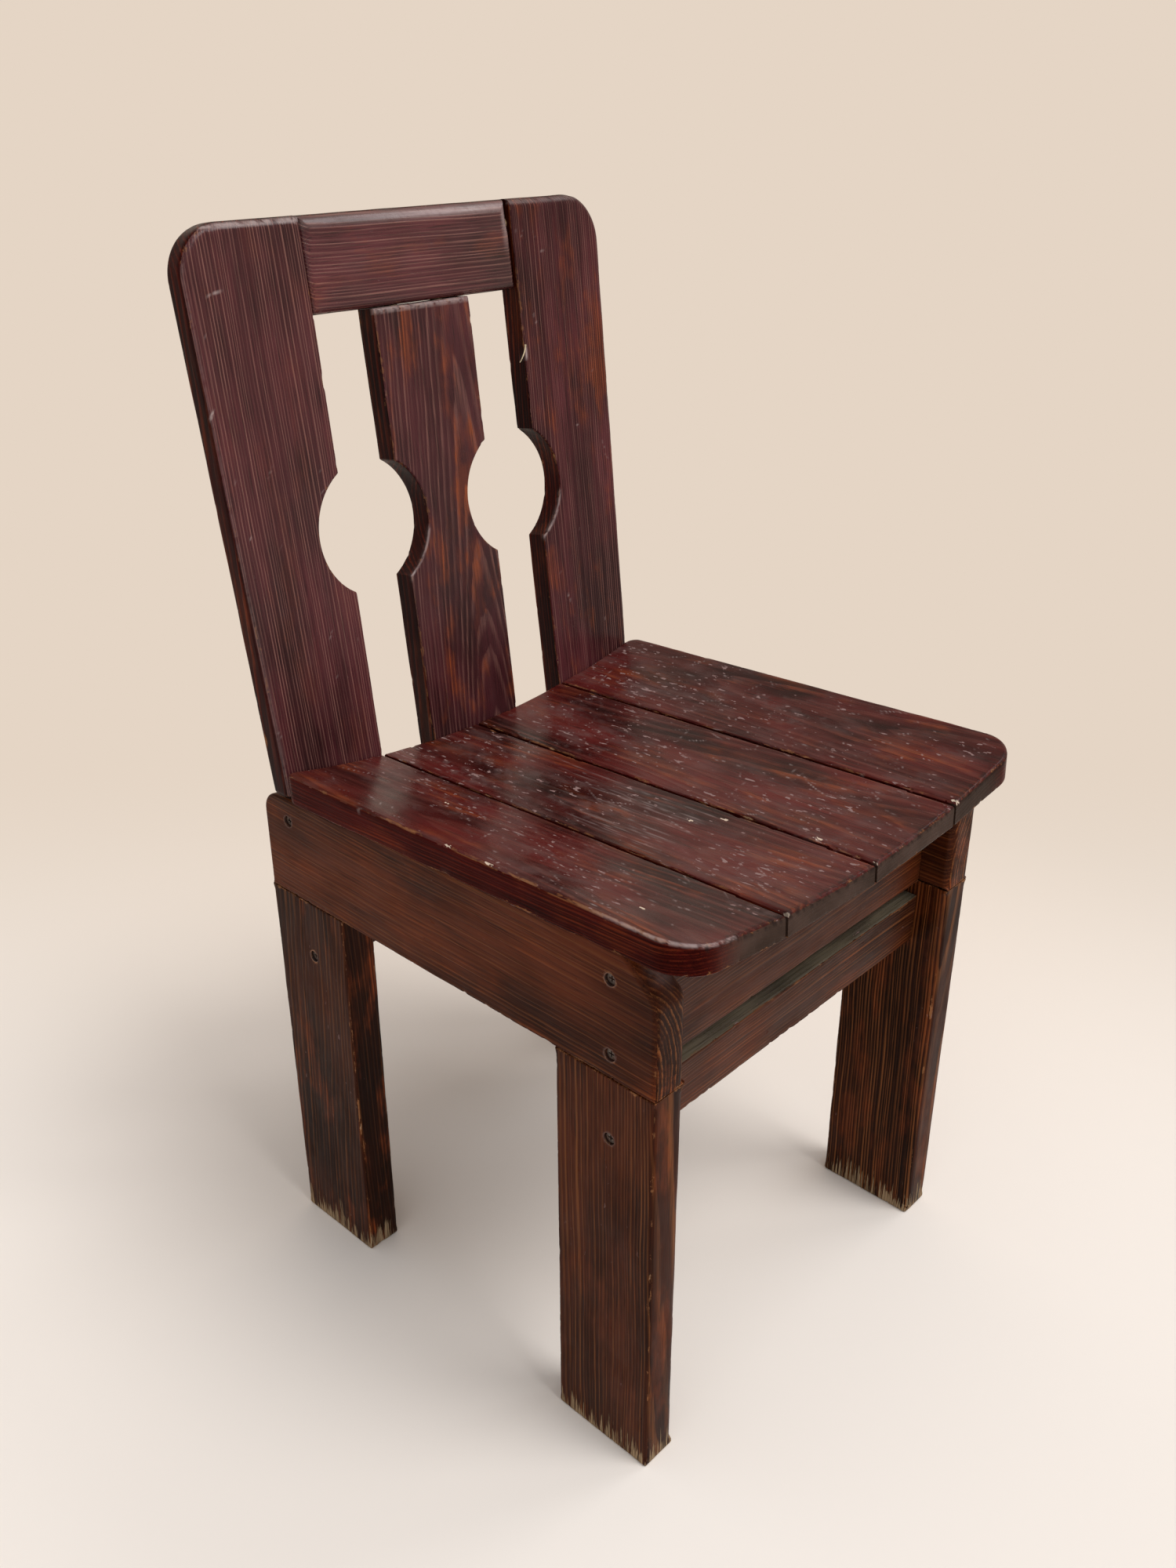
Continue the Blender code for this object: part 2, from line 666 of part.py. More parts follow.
def make_back_upper_rail(shop, under_seat, holes, back_screw_holes):
    """The rail that the seat's back end lies on and the back boards are screwed to."""
    height = -BACK_FOOT + SEAT_MIDDLE_THICKNESS
    mesh = box_mesh("back_upper_rail", (RAIL_LENGTH, RAIL_THICKNESS, height))
    place = (0, -GAP - RAIL_THICKNESS / 2, BACK_FOOT + height / 2)
    rail = shop.add_part("back_upper_rail", mesh, "stained_pine_frame", shop.back, place)
    round_by_edge(rail, lambda middle, direction: RAIL_EASE if abs(direction.x) > 0.5 else 0)
    cut(rail, under_seat)
    cut(rail, holes["seat_dowel"])
    cut(rail, back_screw_holes)
    return rail


def make_seat_board(shop, number, inner, outer, back_plane, holes):
    """One seat board between two X values, hollowed on top and flat underneath."""
    side = 1 if inner + outer > 0 else -1
    low, high = sorted((inner, outer))
    stations = [low + (high - low) * i / SEAT_TOP_FACETS for i in range(SEAT_TOP_FACETS + 1)]
    outline = [(low, seat_underside(low)), (high, seat_underside(high))]
    outline += [(x, seat_top(x)) for x in reversed(stations)]
    length = FRAME_DEPTH + SEAT_OVERHANG
    name = f"seat_board_{number}"
    place = (0, length / 2 - SEAT_OVERHANG, 0)
    mesh = plate_mesh(name, outline, length)
    board = shop.add_part(name, mesh, "stained_pine_seat", shop.seat, place, UPRIGHT)
    if SEAT_EDGE in (abs(low), abs(high)):
        corners = [
            (inner, -SEAT_OVERHANG, 0),
            (side * SEAT_EDGE, -SEAT_OVERHANG, SEAT_FRONT_RADIUS),
            (side * SEAT_EDGE, BACK_PIVOT_Y, SEAT_BACK_RADIUS),
            (inner, BACK_PIVOT_Y, 0),
        ]
        plan = plate_mesh(name + "_plan", filleted(corners), SEAT_WIDTH)
        cut(board, shop.add_cutter(name + "_plan", plan, shop.seat), "INTERSECT")
    cut(board, back_plane)
    round_sharp(board, SEAT_EDGE_ROUND)
    cut(board, holes["seat_dowel"])
    return board


def make_seat(shop, back_plane, holes):
    seam = SEAM_WIDTH / 2
    edges = (
        (-SEAM_OFFSET - seam, -SEAT_EDGE),
        (-seam, -SEAM_OFFSET + seam),
        (seam, SEAM_OFFSET - seam),
        (SEAM_OFFSET + seam, SEAT_EDGE),
    )
    for number, (inner, outer) in enumerate(edges, start=1):
        make_seat_board(shop, number, inner, outer, back_plane, holes)


def stile_outline(side):
    """A stile seen from the front: one round top corner, and its half of a keyhole circle."""
    half = keyhole_half_angle()
    corners = filleted([
        (stile_outer(BACK_FOOT), BACK_FOOT, 0),
        (STILE_OUTER_AT_TOP, BACK_TOP, STILE_CORNER_RADIUS),
        (STILE_INNER, BACK_TOP, 0),
    ])
    bite = arc((KEYHOLE_CENTRE, KEYHOLE_HEIGHT), KEYHOLE_RADIUS, half, -half, 2 * ARC_STEPS)
    outline = corners + bite + [(STILE_INNER, BACK_FOOT)]
    return [(side * x, v) for x, v in outline]


def splat_outline():
    """The splat seen from the front, waisted by both keyhole circles."""
    half = keyhole_half_angle()
    top = TOP_RAIL_UNDERSIDE - GAP
    right = arc((KEYHOLE_CENTRE, KEYHOLE_HEIGHT), KEYHOLE_RADIUS, 180 + half, 180 - half, 2 * ARC_STEPS)
    right = [(SPLAT_HALF, BACK_FOOT)] + right + [(SPLAT_HALF, top)]
    return right + [(-x, v) for x, v in reversed(right)]


def make_stile(shop, side, shoulder, holes, side_screw_holes, back_screw_holes):
    name = f"{SIDE_NAMES[side]}_stile"
    mesh = plate_mesh(name, stile_outline(side), BOARD_THICKNESS)
    place = (0, BOARD_THICKNESS / 2, 0)
    stile = shop.add_part(name, mesh, "stained_pine_back", shop.back, place, UPRIGHT)
    corner_start = BACK_TOP - STILE_CORNER_RADIUS
    inner_limit = KEYHOLE_CENTRE + KEYHOLE_RADIUS + GAP

    def radius_of(middle, direction):
        if abs(direction.z) > 0.5 or middle.y < BACK_FOOT + GAP:
            return 0
        if abs(middle.x) < inner_limit and middle.y < BACK_TOP - GAP:
            return SLOT_EDGE_ROUND
        if middle.z < 0:
            return BOARD_BACK_ROUND
        share = max(0, middle.y - corner_start) / STILE_CORNER_RADIUS
        return STILE_OUTER_ROUND + (STILE_TOP_ROUND - STILE_OUTER_ROUND) * share

    round_by_edge(stile, radius_of)
    cut(stile, shoulder)
    cut(stile, holes["top_rail_dowel"])
    cut(stile, side_screw_holes)
    cut(stile, back_screw_holes)
    return stile


def make_splat(shop, holes, back_screw_holes):
    mesh = plate_mesh("centre_splat", splat_outline(), BOARD_THICKNESS)
    place = (0, BOARD_THICKNESS / 2, 0)
    splat = shop.add_part("centre_splat", mesh, "stained_pine_back", shop.back, place, UPRIGHT)
    top = TOP_RAIL_UNDERSIDE - 2 * GAP

    def radius_of(middle, direction):
        if abs(direction.z) > 0.5 or middle.y < BACK_FOOT + GAP:
            return 0
        if middle.y > top:
            return SPLAT_TOP_CHAMFER if middle.z > 0 else 0
        return SLOT_EDGE_ROUND

    round_by_edge(splat, radius_of)
    cut(splat, holes["splat_dowel"])
    cut(splat, back_screw_holes)
    return splat


def make_top_rail(shop, holes):
    """The pillowed rail between the stiles, softened on its front edges and ends."""
    size = (2 * (STILE_INNER - GAP), BOARD_THICKNESS - TOP_RAIL_RECESS, BACK_TOP - TOP_RAIL_UNDERSIDE)
    place = (0, (TOP_RAIL_RECESS + BOARD_THICKNESS) / 2, (BACK_TOP + TOP_RAIL_UNDERSIDE) / 2)
    rail = shop.add_part("top_rail", box_mesh("top_rail", size), "stained_pine_back", shop.back, place)

    def radius_of(middle, direction):
        if abs(direction.y) > 0.5:
            return 0
        front = middle.y < 0
        if abs(direction.z) > 0.5:
            return TOP_RAIL_END_ROUND if front else SLOT_EDGE_ROUND
        if middle.z > 0:
            return TOP_RAIL_TOP_ROUND if front else BOARD_BACK_ROUND
        return TOP_RAIL_UNDER_ROUND if front else SLOT_EDGE_ROUND

    round_by_edge(rail, radius_of)
    cut(rail, holes["top_rail_dowel"])
    cut(rail, holes["splat_dowel"])
    return rail


def make_back(shop, holes, side_screw_holes, back_screw_holes):
    for side in (-1, 1):
        shoulder = make_shoulder_cutter(shop, side)
        make_stile(shop, side, shoulder, holes, side_screw_holes[side], back_screw_holes)
    make_splat(shop, holes, back_screw_holes)
    make_top_rail(shop, holes)


def main():
    clear_scene()
    shop = Workshop()
    under_seat = make_under_seat_cutter(shop)
    back_plane = make_back_plane_cutter(shop)
    holes = make_dowels(shop)
    back_screw_holes = make_screw_group(
        shop, "back_board_screw", BACK_SCREW_LENGTH, back_screw_moves(), shop.back
    )
    side_screw_holes = make_side_frames(shop, under_seat, holes)
    make_back_upper_rail(shop, under_seat, holes, back_screw_holes)
    make_seat(shop, back_plane, holes)
    make_back(shop, holes, side_screw_holes, back_screw_holes)


main()
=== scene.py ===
import math

import bpy
import numpy as np
from mathutils import Matrix, Vector


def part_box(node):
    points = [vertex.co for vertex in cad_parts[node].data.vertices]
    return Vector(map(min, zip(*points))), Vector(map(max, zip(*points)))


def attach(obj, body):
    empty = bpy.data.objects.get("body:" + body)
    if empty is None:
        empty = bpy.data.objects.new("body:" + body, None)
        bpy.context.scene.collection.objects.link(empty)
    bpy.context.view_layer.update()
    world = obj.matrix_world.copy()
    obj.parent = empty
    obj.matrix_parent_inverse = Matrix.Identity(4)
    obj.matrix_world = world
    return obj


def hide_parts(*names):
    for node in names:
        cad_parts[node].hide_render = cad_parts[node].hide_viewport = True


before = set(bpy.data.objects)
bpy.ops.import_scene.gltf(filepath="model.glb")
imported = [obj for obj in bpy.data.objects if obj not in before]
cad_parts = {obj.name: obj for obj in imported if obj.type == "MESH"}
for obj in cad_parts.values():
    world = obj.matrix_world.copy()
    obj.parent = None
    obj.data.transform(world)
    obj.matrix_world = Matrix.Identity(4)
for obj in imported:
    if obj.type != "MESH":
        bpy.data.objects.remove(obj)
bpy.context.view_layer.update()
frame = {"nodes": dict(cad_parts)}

bl_info = {
    "name": "Keyhole Chair",
    "version": (1, 0, 0),
    "blender": (4, 5, 0),
    "location": "3D View > Sidebar > Keyhole Chair",
    "description": "Dresses a worn, stained pine chair: boards, grain, varnish, scuffs and a plain studio",
    "category": "Object",
}

# Distances along Y count from the front faces of the legs, as the chair was measured
MIDDLE_Y = -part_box("front_left_leg")[0].y
LEG_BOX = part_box("front_left_leg")
SIDE_OUTER = -LEG_BOX[0].x
SIDE_INNER = -LEG_BOX[1].x
LEG_WIDTH = LEG_BOX[1].y - LEG_BOX[0].y
LEG_TOP = LEG_BOX[1].z
APRON_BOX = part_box("left_apron")
FRAME_DEPTH = APRON_BOX[1].y - APRON_BOX[0].y
APRON_UNDERSIDE = APRON_BOX[0].z

# GAP keeps neighbouring boards apart, and GRID is the usual width of a face
GAP = 0.0003
GRID = 0.0016


def length_setting(name, description, default, **more):
    """A length, in metres."""
    return bpy.props.FloatProperty(name=name, description=description, default=default, unit="LENGTH", **more)


def angle_setting(name, description, degrees):
    """An angle, given in degrees."""
    return bpy.props.FloatProperty(
        name=name, description=description, default=math.radians(degrees), subtype="ANGLE"
    )


class KEYHOLE_PG_sizes(bpy.types.PropertyGroup):
    """Sizes of the back and the seat, in metres and degrees"""

    lean: angle_setting("Back lean", "How far the back leans from upright", 7.25)
    fall: angle_setting("Seat fall", "How far the seat falls to the back", 2.39)
    seat_height: length_setting("Seat height", "Height of the middle of the seat over the legs' front faces", 0.4475)
    seat_hollow: length_setting("Seat hollow", "Rise of the seat from its middle to its sides", 0.0241)
    back_height: length_setting("Back height", "Length of the back boards over the pivot line", 0.3995)
    keyhole_radius: length_setting("Keyhole radius", "Radius of the round part of each slot", 0.0535)
    edge_wear: length_setting("Edge wear", "Depth of the nicks along the arrises", 0.0006, precision=5)


def colour_setting(name, description, default):
    """A colour setting, in linear light."""
    return bpy.props.FloatVectorProperty(
        name=name, description=description, default=default, subtype="COLOR", size=3, min=0, max=1
    )


class KEYHOLE_PG_colours(bpy.types.PropertyGroup):
    """Colours of the stain, the wear and the studio"""

    back: colour_setting("Back stain", "Plum-brown stain of the back boards", (0.0460, 0.0094, 0.0118))
    back_grain: colour_setting("Back grain", "Hard rings of the back boards", (0.220, 0.098, 0.078))
    seat: colour_setting("Seat stain", "Burgundy stain of the seat boards", (0.0460, 0.0048, 0.0042))
    seat_grain: colour_setting("Seat grain", "Hard rings of the seat boards", (0.120, 0.030, 0.022))
    rim: colour_setting("Seat side", "Clean mahogany red on the sides of the seat", (0.0360, 0.0022, 0.0018))
    rim_grain: colour_setting("Seat side grain", "Orange rings on the sides of the seat", (0.1400, 0.0180, 0.0060))
    # The ledge colours: grey dust with a painted reflection of the sky on the rails' upper faces.
    ledge: colour_setting("Ledge dust", "Grey dust on the rails' upper faces", (0.1150, 0.0920, 0.0600))
    ledge_grain: colour_setting("Ledge grain", "Paler dust on the rails' upper faces", (0.1800, 0.1550, 0.1250))
    frame: colour_setting("Frame stain", "Brown stain of the aprons, legs and rails", (0.0420, 0.0090, 0.0030))
    frame_grain: colour_setting("Frame grain", "Hard rings of the aprons, legs and rails", (0.175, 0.060, 0.018))
    ember: colour_setting("Warm grain", "Orange-red wood that shows through thin stain", (0.240, 0.050, 0.012))
    amber: colour_setting("Rubbed edge", "Arrises rubbed down to stained wood", (0.260, 0.105, 0.040))
    bare: colour_setting("Bare wood", "Chips and worn feet", (0.480, 0.330, 0.190))
    scuff: colour_setting("Scuffs", "Rubbed, dusty varnish", (0.240, 0.150, 0.140))
    floor: colour_setting("Floor", "The studio floor", (0.880, 0.810, 0.745))
    backdrop: colour_setting("Backdrop", "The wall behind the chair", (0.783, 0.665, 0.558))


# Measured sizes of the boards and their places, as the part has them
SEAM_OFFSET = 0.104
SEAM_WIDTH = 0.0026
SEAT_EDGE = 0.2015
SEAT_OVERHANG = 0.0288
SEAT_THICKNESS = 0.0169
SEAT_UNDERSIDE_RISE = 0.0164
SEAT_FRONT_RADIUS = 0.030
SEAT_BACK_RADIUS = 0.012
BACK_PIVOT_Y = 0.3749
BACK_PIVOT_Z = 0.4472
BACK_FOOT = -0.098
BOARD_THICKNESS = 0.0205
STILE_OUTER_AT_SEAT = 0.1975
STILE_OUTER_AT_TOP = 0.2066
STILE_INNER = 0.1033
STILE_CORNER_RADIUS = 0.037
SPLAT_HALF = 0.0485
KEYHOLE_HEIGHT = 0.1713
KEYHOLE_CENTRE = (STILE_INNER + SPLAT_HALF) / 2
TOP_RAIL_UNDERSIDE = 0.3306
TOP_RAIL_RECESS = 0.0012
RAIL_THICKNESS = 0.027
RAIL_INSET = 0.026
LOWER_RAIL_UNDERSIDE = 0.2862
LOWER_RAIL_TOP = 0.328
BACK_RAIL_INSET = 0.034


def sizes():
    return bpy.context.scene.keyhole_chair_sizes


def colours():
    return bpy.context.scene.keyhole_chair_colours


def linked(name, data):
    """A new object, linked to the scene."""
    made = bpy.data.objects.new(name, data)
    bpy.context.scene.collection.objects.link(made)
    return made


def triples(items, key):
    """What a mesh's items hold under KEY, three values to a row."""
    values = np.zeros(len(items) * 3)
    items.foreach_get(key, values)
    return values.reshape(-1, 3)


def side_name(side):
    return "left" if side < 0 else "right"


def box_middle(box):
    """The middle of a box, given as its two corners."""
    return sum(box, Vector()) / 2


def waves(points, size, seed, count=28):
    """Soft noise of about unit spread: the sum of plane waves of random directions, about SIZE long."""
    random = np.random.default_rng(seed)
    directions = random.normal(size=(count, 3))
    directions /= np.linalg.norm(directions, axis=1)[:, None]
    lengths = size * random.uniform(0.6, 1.7, count)
    phases = points @ (directions * (2 * np.pi / lengths)[:, None]).T
    return np.sin(phases + random.uniform(0, 2 * np.pi, count)).sum(1) / math.sqrt(count / 2)


def smooth(low, high, value):
    """0 below LOW, 1 above HIGH and a soft S between them."""
    share = np.clip((value - low) / (high - low), 0, 1)
    return share * share * (3 - 2 * share)


def matched(points, count):
    """A chain of points walked in COUNT even steps, its ends kept."""
    points = np.asarray(points, float)
    walked = np.concatenate([[0], np.cumsum(np.linalg.norm(np.diff(points, axis=0), axis=1))])
    places = np.linspace(0, walked[-1], count)
    return np.stack([np.interp(places, walked, points[:, k]) for k in (0, 1)], axis=1)


def resampled(points, spacing):
    """A chain of points walked at an even step of about SPACING."""
    walked = np.cumsum(np.linalg.norm(np.diff(np.asarray(points, float), axis=0), axis=1))
    return matched(points, max(2, int(round(walked[-1] / spacing)) + 1))


def arc(centre, radius, start, end, count=24):
    """Points on a circle from one angle to another, in degrees."""
    turns = np.radians(np.linspace(start, end, count))
    return np.stack([centre[0] + radius * np.cos(turns), centre[1] + radius * np.sin(turns)], axis=1)


def coons(bottom, right, top, left):
    """A face between four edge chains: the blend across, plus the blend up, less the blend of its corners."""
    up = np.linspace(0, 1, len(left))[:, None, None]
    across = np.linspace(0, 1, len(bottom))[None, :, None]
    ruled_across = (1 - across) * left[:, None] + across * right[:, None]
    ruled_up = (1 - up) * bottom[None] + up * top[None]
    low = (1 - across) * bottom[0] + across * bottom[-1]
    high = (1 - across) * top[0] + across * top[-1]
    return ruled_across + ruled_up - (1 - up) * low - up * high


def inward_steps(outline):
    """For a closed outline, the step at each point that moves every side inwards by one."""
    side = np.roll(outline, -1, axis=0) - outline
    side /= np.linalg.norm(side, axis=1)[:, None]
    outward = np.stack([side[:, 1], -side[:, 0]], axis=1)
    before = np.roll(outward, 1, axis=0)
    share = 1 + (outward * before).sum(1)
    return -(outward + before) / np.maximum(share, 0.5)[:, None]


def inset_sides(outline, inward, rounding, corners):
    """The four sides of an outline, moved in by its rounding. Points that would pass a corner stop short of it."""
    edge = outline + inward * rounding[:, None]
    closed, edge = np.concatenate([outline, outline[:1]]), np.concatenate([edge, edge[:1]])
    sides = []
    for start, stop in zip(corners[:-1], corners[1:]):
        side, moved = closed[start : stop + 1], edge[start : stop + 1]
        steps = np.diff(side, axis=0)
        walked = np.concatenate([[0], np.cumsum(np.linalg.norm(steps, axis=1))])
        passed = (moved[[0, -1]] - side[[0, -1]]) * steps[[0, -1]] / np.linalg.norm(steps[[0, -1]], axis=1)[:, None]
        at_start, at_stop = np.maximum(passed.sum(1) * (1, -1), 0)
        place = walked + np.maximum(at_start - walked / 4, 0) - np.maximum(at_stop - (walked[-1] - walked) / 4, 0)
        slid = np.stack([np.interp(place, walked, moved[:, k]) for k in (0, 1)], axis=1)
        slid[0], slid[-1] = moved[0], moved[-1]
        sides.append(slid)
    return sides


def board_surface(sides, thickness, front_round, back_round, round_steps=6, wall_steps=5):
    """A board between four edge chains of (across, along).

    Its front and back faces are blends of the chains, moved in by the rounding. Its rim is a
    profile carried round the outline: a quarter circle, a straight wall and a quarter circle.
    Returns points as (across, depth, along), and faces.
    """
    count = max(len(sides[0]), len(sides[2]))
    bottom, top = matched(sides[0], count), matched(sides[2], count)
    rows = max(len(sides[1]), len(sides[3]))
    right, left = matched(sides[1], rows), matched(sides[3], rows)
    index = np.arange(rows * count).reshape(rows, count)
    loop = np.concatenate([index[0], index[1:, -1], index[-1, -2::-1], index[-2:0:-1, 0]])
    outline = np.concatenate([bottom, right[1:], top[-2::-1], left[-2:0:-1]])
    corners = (0, count - 1, count + rows - 2, 2 * count + rows - 3, len(outline))
    inward = inward_steps(outline)
    front_rounding = front_round(outline[:, 0], outline[:, 1])
    back_rounding = back_round(outline[:, 0], outline[:, 1])
    front_sides = inset_sides(outline, inward, front_rounding, corners)
    back_sides = inset_sides(outline, inward, back_rounding, corners)
    front, back = (
        coons(near, far, over[::-1], under[::-1]).reshape(-1, 2)
        for near, far, over, under in (front_sides, back_sides)
    )
    front_inset, back_inset = (
        np.concatenate([side[:-1] for side in sides]) - outline for sides in (front_sides, back_sides)
    )
    depth = thickness(outline[:, 0], outline[:, 1])

    angles = np.linspace(0, np.pi / 2, round_steps + 1)
    rings = []
    for angle in angles[1:]:
        flat = outline + front_inset * (1 - math.sin(angle))
        rings.append((flat, front_rounding * (1 - math.cos(angle))))
    for share in np.linspace(0, 1, wall_steps + 1)[1:]:
        wall = depth - front_rounding - back_rounding
        rings.append((outline, front_rounding + wall * share))
    for angle in angles[-2:0:-1]:
        flat = outline + back_inset * (1 - math.sin(angle))
        rings.append((flat, depth - back_rounding * (1 - math.cos(angle))))

    blocks = [np.stack([front[:, 0], np.zeros(len(front)), front[:, 1]], axis=1)]
    blocks += [np.stack([flat[:, 0], down, flat[:, 1]], axis=1) for flat, down in rings]
    back_depth = thickness(back[:, 0], back[:, 1])
    blocks.append(np.stack([back[:, 0], back_depth, back[:, 1]], axis=1))
    points = np.concatenate(blocks)

    size = rows * count
    ring_index = [loop] + [size + k * len(loop) + np.arange(len(loop)) for k in range(len(rings))]
    ring_index.append(size + len(rings) * len(loop) + loop)
    faces = [quads(index)]
    for near, far in zip(ring_index[:-1], ring_index[1:]):
        faces.append(np.stack([near, far, np.roll(far, -1), np.roll(near, -1)], axis=1))
    faces.append(quads(index)[:, ::-1] + size + len(rings) * len(loop))
    return points, np.concatenate(faces)


def quads(index):
    """The four-cornered faces between the rows and columns of a grid of point numbers."""
    corners = [index[:-1, :-1], index[:-1, 1:], index[1:, 1:], index[1:, :-1]]
    return np.stack([c.reshape(-1) for c in corners], axis=1)


def facing_out(points, faces):
    """The same faces, turned over if the volume that they enclose comes out negative."""
    a, b, c, d = (points[faces[:, k]] for k in range(4))
    volume = (a * np.cross(b, c)).sum() + (a * np.cross(c, d)).sum()
    return faces if volume > 0 else faces[:, ::-1]


def strokes(across, along, lines):
    """How strongly each point lies on one of the LINES: a soft-edged band about each line, tapered to its ends."""
    mark = np.zeros(len(across))
    for x0, y0, x1, y1, width, strength in lines:
        run = np.array([x1 - x0, y1 - y0])
        length = np.linalg.norm(run)
        run /= length
        share = ((across - x0) * run[0] + (along - y0) * run[1]) / length
        bow = 0.03 * length * np.sin(share * np.pi)
        off = (across - x0) * -run[1] + (along - y0) * run[0] - bow
        inside = np.clip(1.15 * np.sin(np.clip(share, 0, 1) * np.pi), 0, 1) * ((share > 0) & (share < 1))
        mark = np.maximum(mark, strength * inside * np.exp(-((off / width) ** 2)))
    return mark


def random_lines(seed, count, low, high, lengths, width, heading=None, spread=0.5):
    """COUNT scratches within a box, at random places, headings, lengths and strengths."""
    random = np.random.default_rng(seed)
    low, high = np.minimum(low, high), np.maximum(low, high)
    lines = []
    for _ in range(count):
        x, y = random.uniform(low, high)
        angle = random.uniform(0, np.pi) if heading is None else random.normal(heading, spread)
        length = lengths[0] + (lengths[1] - lengths[0]) * random.random() ** 2.5
        end = (x + length * math.cos(angle), y + length * math.sin(angle))
        lines.append((x, y, *end, width * random.uniform(0.7, 1.3), random.uniform(0.25, 1.0)))
    return lines


# The sinkings round the screw heads, and how far a board's surface strays from flat
SINKING_RADIUS = 0.0047
SINKING_DEPTH = 0.0031
UNEVENNESS = 0.00012


class Board:
    """One wooden piece: a mesh, its points' places in the sawn board (across, depth, along), and its wear, with
    painted highlights and shade.
    """

    def __init__(self, name, node, slot, points, faces, place, edge):
        self.node, self.slot = node, slot
        self.local, self.place, self.edge_of = points, place, edge
        self.points = place.to_chair(points)
        self.edge = edge(points)
        self.marks = {key: np.zeros(len(points)) for key in ("nicks", "chip", "scratch", "dust", "grime")}
        self.mesh = bpy.data.meshes.new(name)
        self.mesh.from_pydata(self.points.tolist(), [], facing_out(self.points, faces).tolist())
        self.mesh.shade_smooth()

    def bore(self, places, axis, radius=SINKING_RADIUS, depth=SINKING_DEPTH):
        """Cut round sinkings for screw heads, before any wear, darken their insides and pale their rims."""
        turns = np.linspace(0, 2 * np.pi, 33)[:-1]
        axis = np.array(axis, float)
        first = np.cross(axis, (0, 0, 1.0) if abs(axis[2]) < 0.9 else (0, 1.0, 0))
        first /= np.linalg.norm(first)
        ring = np.outer(np.cos(turns), first) + np.outer(np.sin(turns), np.cross(axis, first))
        points, faces = [], []
        for place in np.array(places):
            near = np.arange(32) + len(points)
            points += (place - axis * depth + ring * radius).tolist() + (place + axis * 0.01 + ring * radius).tolist()
            sides = np.stack([near, np.roll(near, -1), np.roll(near, -1) + 32, near + 32], axis=1)
            faces += [near[::-1].tolist(), (near + 32).tolist()] + sides.tolist()
        drill_mesh = bpy.data.meshes.new("drill")
        drill_mesh.from_pydata(points, [], faces)
        board, drill = linked("board", self.mesh), linked("drill", drill_mesh)
        step = board.modifiers.new("bore", "BOOLEAN")
        step.operation, step.solver, step.object = "DIFFERENCE", "EXACT", drill
        bpy.context.view_layer.update()
        name = self.mesh.name
        cut = bpy.data.meshes.new_from_object(board.evaluated_get(bpy.context.evaluated_depsgraph_get()))
        bpy.data.objects.remove(board, do_unlink=True)
        bpy.data.objects.remove(drill, do_unlink=True)
        bpy.data.meshes.remove(drill_mesh)
        bpy.data.meshes.remove(self.mesh)
        cut.name = name
        self.mesh = cut
        self.points = triples(cut.vertices, "co")
        self.local = self.place.to_board(self.points)
        self.edge = self.edge_of(self.local)
        self.marks = {key: np.zeros(len(self.points)) for key in self.marks}
        for place in np.array(places):
            away = self.points - place
            rise = away @ axis
            out = np.linalg.norm(away - np.outer(rise, axis), axis=1)
            self.edge = np.minimum(self.edge, np.maximum(np.abs(out - radius), np.abs(rise)))
            self.mark("grime", 0.7 * (out < radius + 0.0001) * smooth(-0.0002, -0.0012, rise))
            self.mark("scratch", 0.18 * smooth(radius + 0.0010, radius + 0.0002, out) * smooth(-0.0010, -0.0002, rise))
        return self

    def sink(self, depths):
        """Move every point inwards along its normal."""
        self.points = self.points - triples(self.mesh.vertex_normals, "vector") * depths[:, None]
        self.mesh.vertices.foreach_set("co", self.points.reshape(-1))
        self.mesh.update()

    def age(self, seed, nick=None):
        """Wear the surface: a slight waviness all over, and nicks that bite into the arrises."""
        nick = sizes().edge_wear if nick is None else nick
        near = np.exp(-((self.edge / 0.0022) ** 2))
        bites = np.clip(waves(self.local * (1, 1, 0.35), 0.006, seed) - 1.1, 0, 1.2) * near
        small = np.clip(waves(self.local, 0.0022, seed + 1) - 1.3, 0, 1.0) * near
        sway = 1 + np.clip(waves(self.local, 0.05, seed + 2), -1, 1)
        self.sink(nick * bites + 0.4 * nick * small + UNEVENNESS * sway)
        self.mark("nicks", np.clip(bites + 0.5 * small, 0, 1))
        return self

    def chip(self, places):
        """Knock out small hollows at (across, depth, along, radius, depth of the hollow)."""
        for *centre, radius, deep in places:
            away = np.linalg.norm((self.local - np.array(centre)) * (1.5, 1, 0.6), axis=1) / radius
            near = away < 1.6
            away[near] += 0.3 * waves(self.local[near], radius * 0.9, int(1e6 * radius))
            inside = smooth(1.0, 0.5, away)
            self.sink(deep * inside)
            self.mark("chip", inside)
        return self

    def mark(self, key, values):
        self.marks[key] = np.maximum(self.marks[key], values)
        return self

    def patches(self, key, places):
        """Mark soft, ragged ovals at (across, along, half width, half length, strength) on the top face."""
        across, depth, along = self.local.T
        ragged = 0.35 * waves(self.local, 0.012, 7) + 0.2 * waves(self.local, 0.004, 8)
        for x, y, wide, long, strength in places:
            away = np.hypot((across - x) / wide, (along - y) / long) + ragged
            self.mark(key, strength * smooth(1.25, 0.35, away) * (depth < 0.004))
        return self

    def rub(self, where, seed, low=-0.2, high=0.9):
        """Rub the varnish off the arrises in ragged lengths where WHERE holds."""
        ragged = waves(self.local * (1, 1, 0.25), 0.010, seed) + 0.8 * waves(self.local * (1, 1, 0.5), 0.003, seed + 1)
        return self.mark("nicks", 0.74 * where * smooth(0.0042, 0.0015, self.edge) * smooth(low, high, ragged))

    def glint(self, band, seed, broken=1.0):
        """Paint a pale highlight where BAND is near 1, in a line as uneven as BROKEN says. It shares the mark of the
        scratches.
        """
        uneven = 0.35 * waves(self.local, 0.006, seed) + 0.25 * waves(self.local, 0.0018, seed + 1)
        broken = np.clip(0.95 + broken * uneven, 0, 1)
        return self.mark("scratch", band * broken)

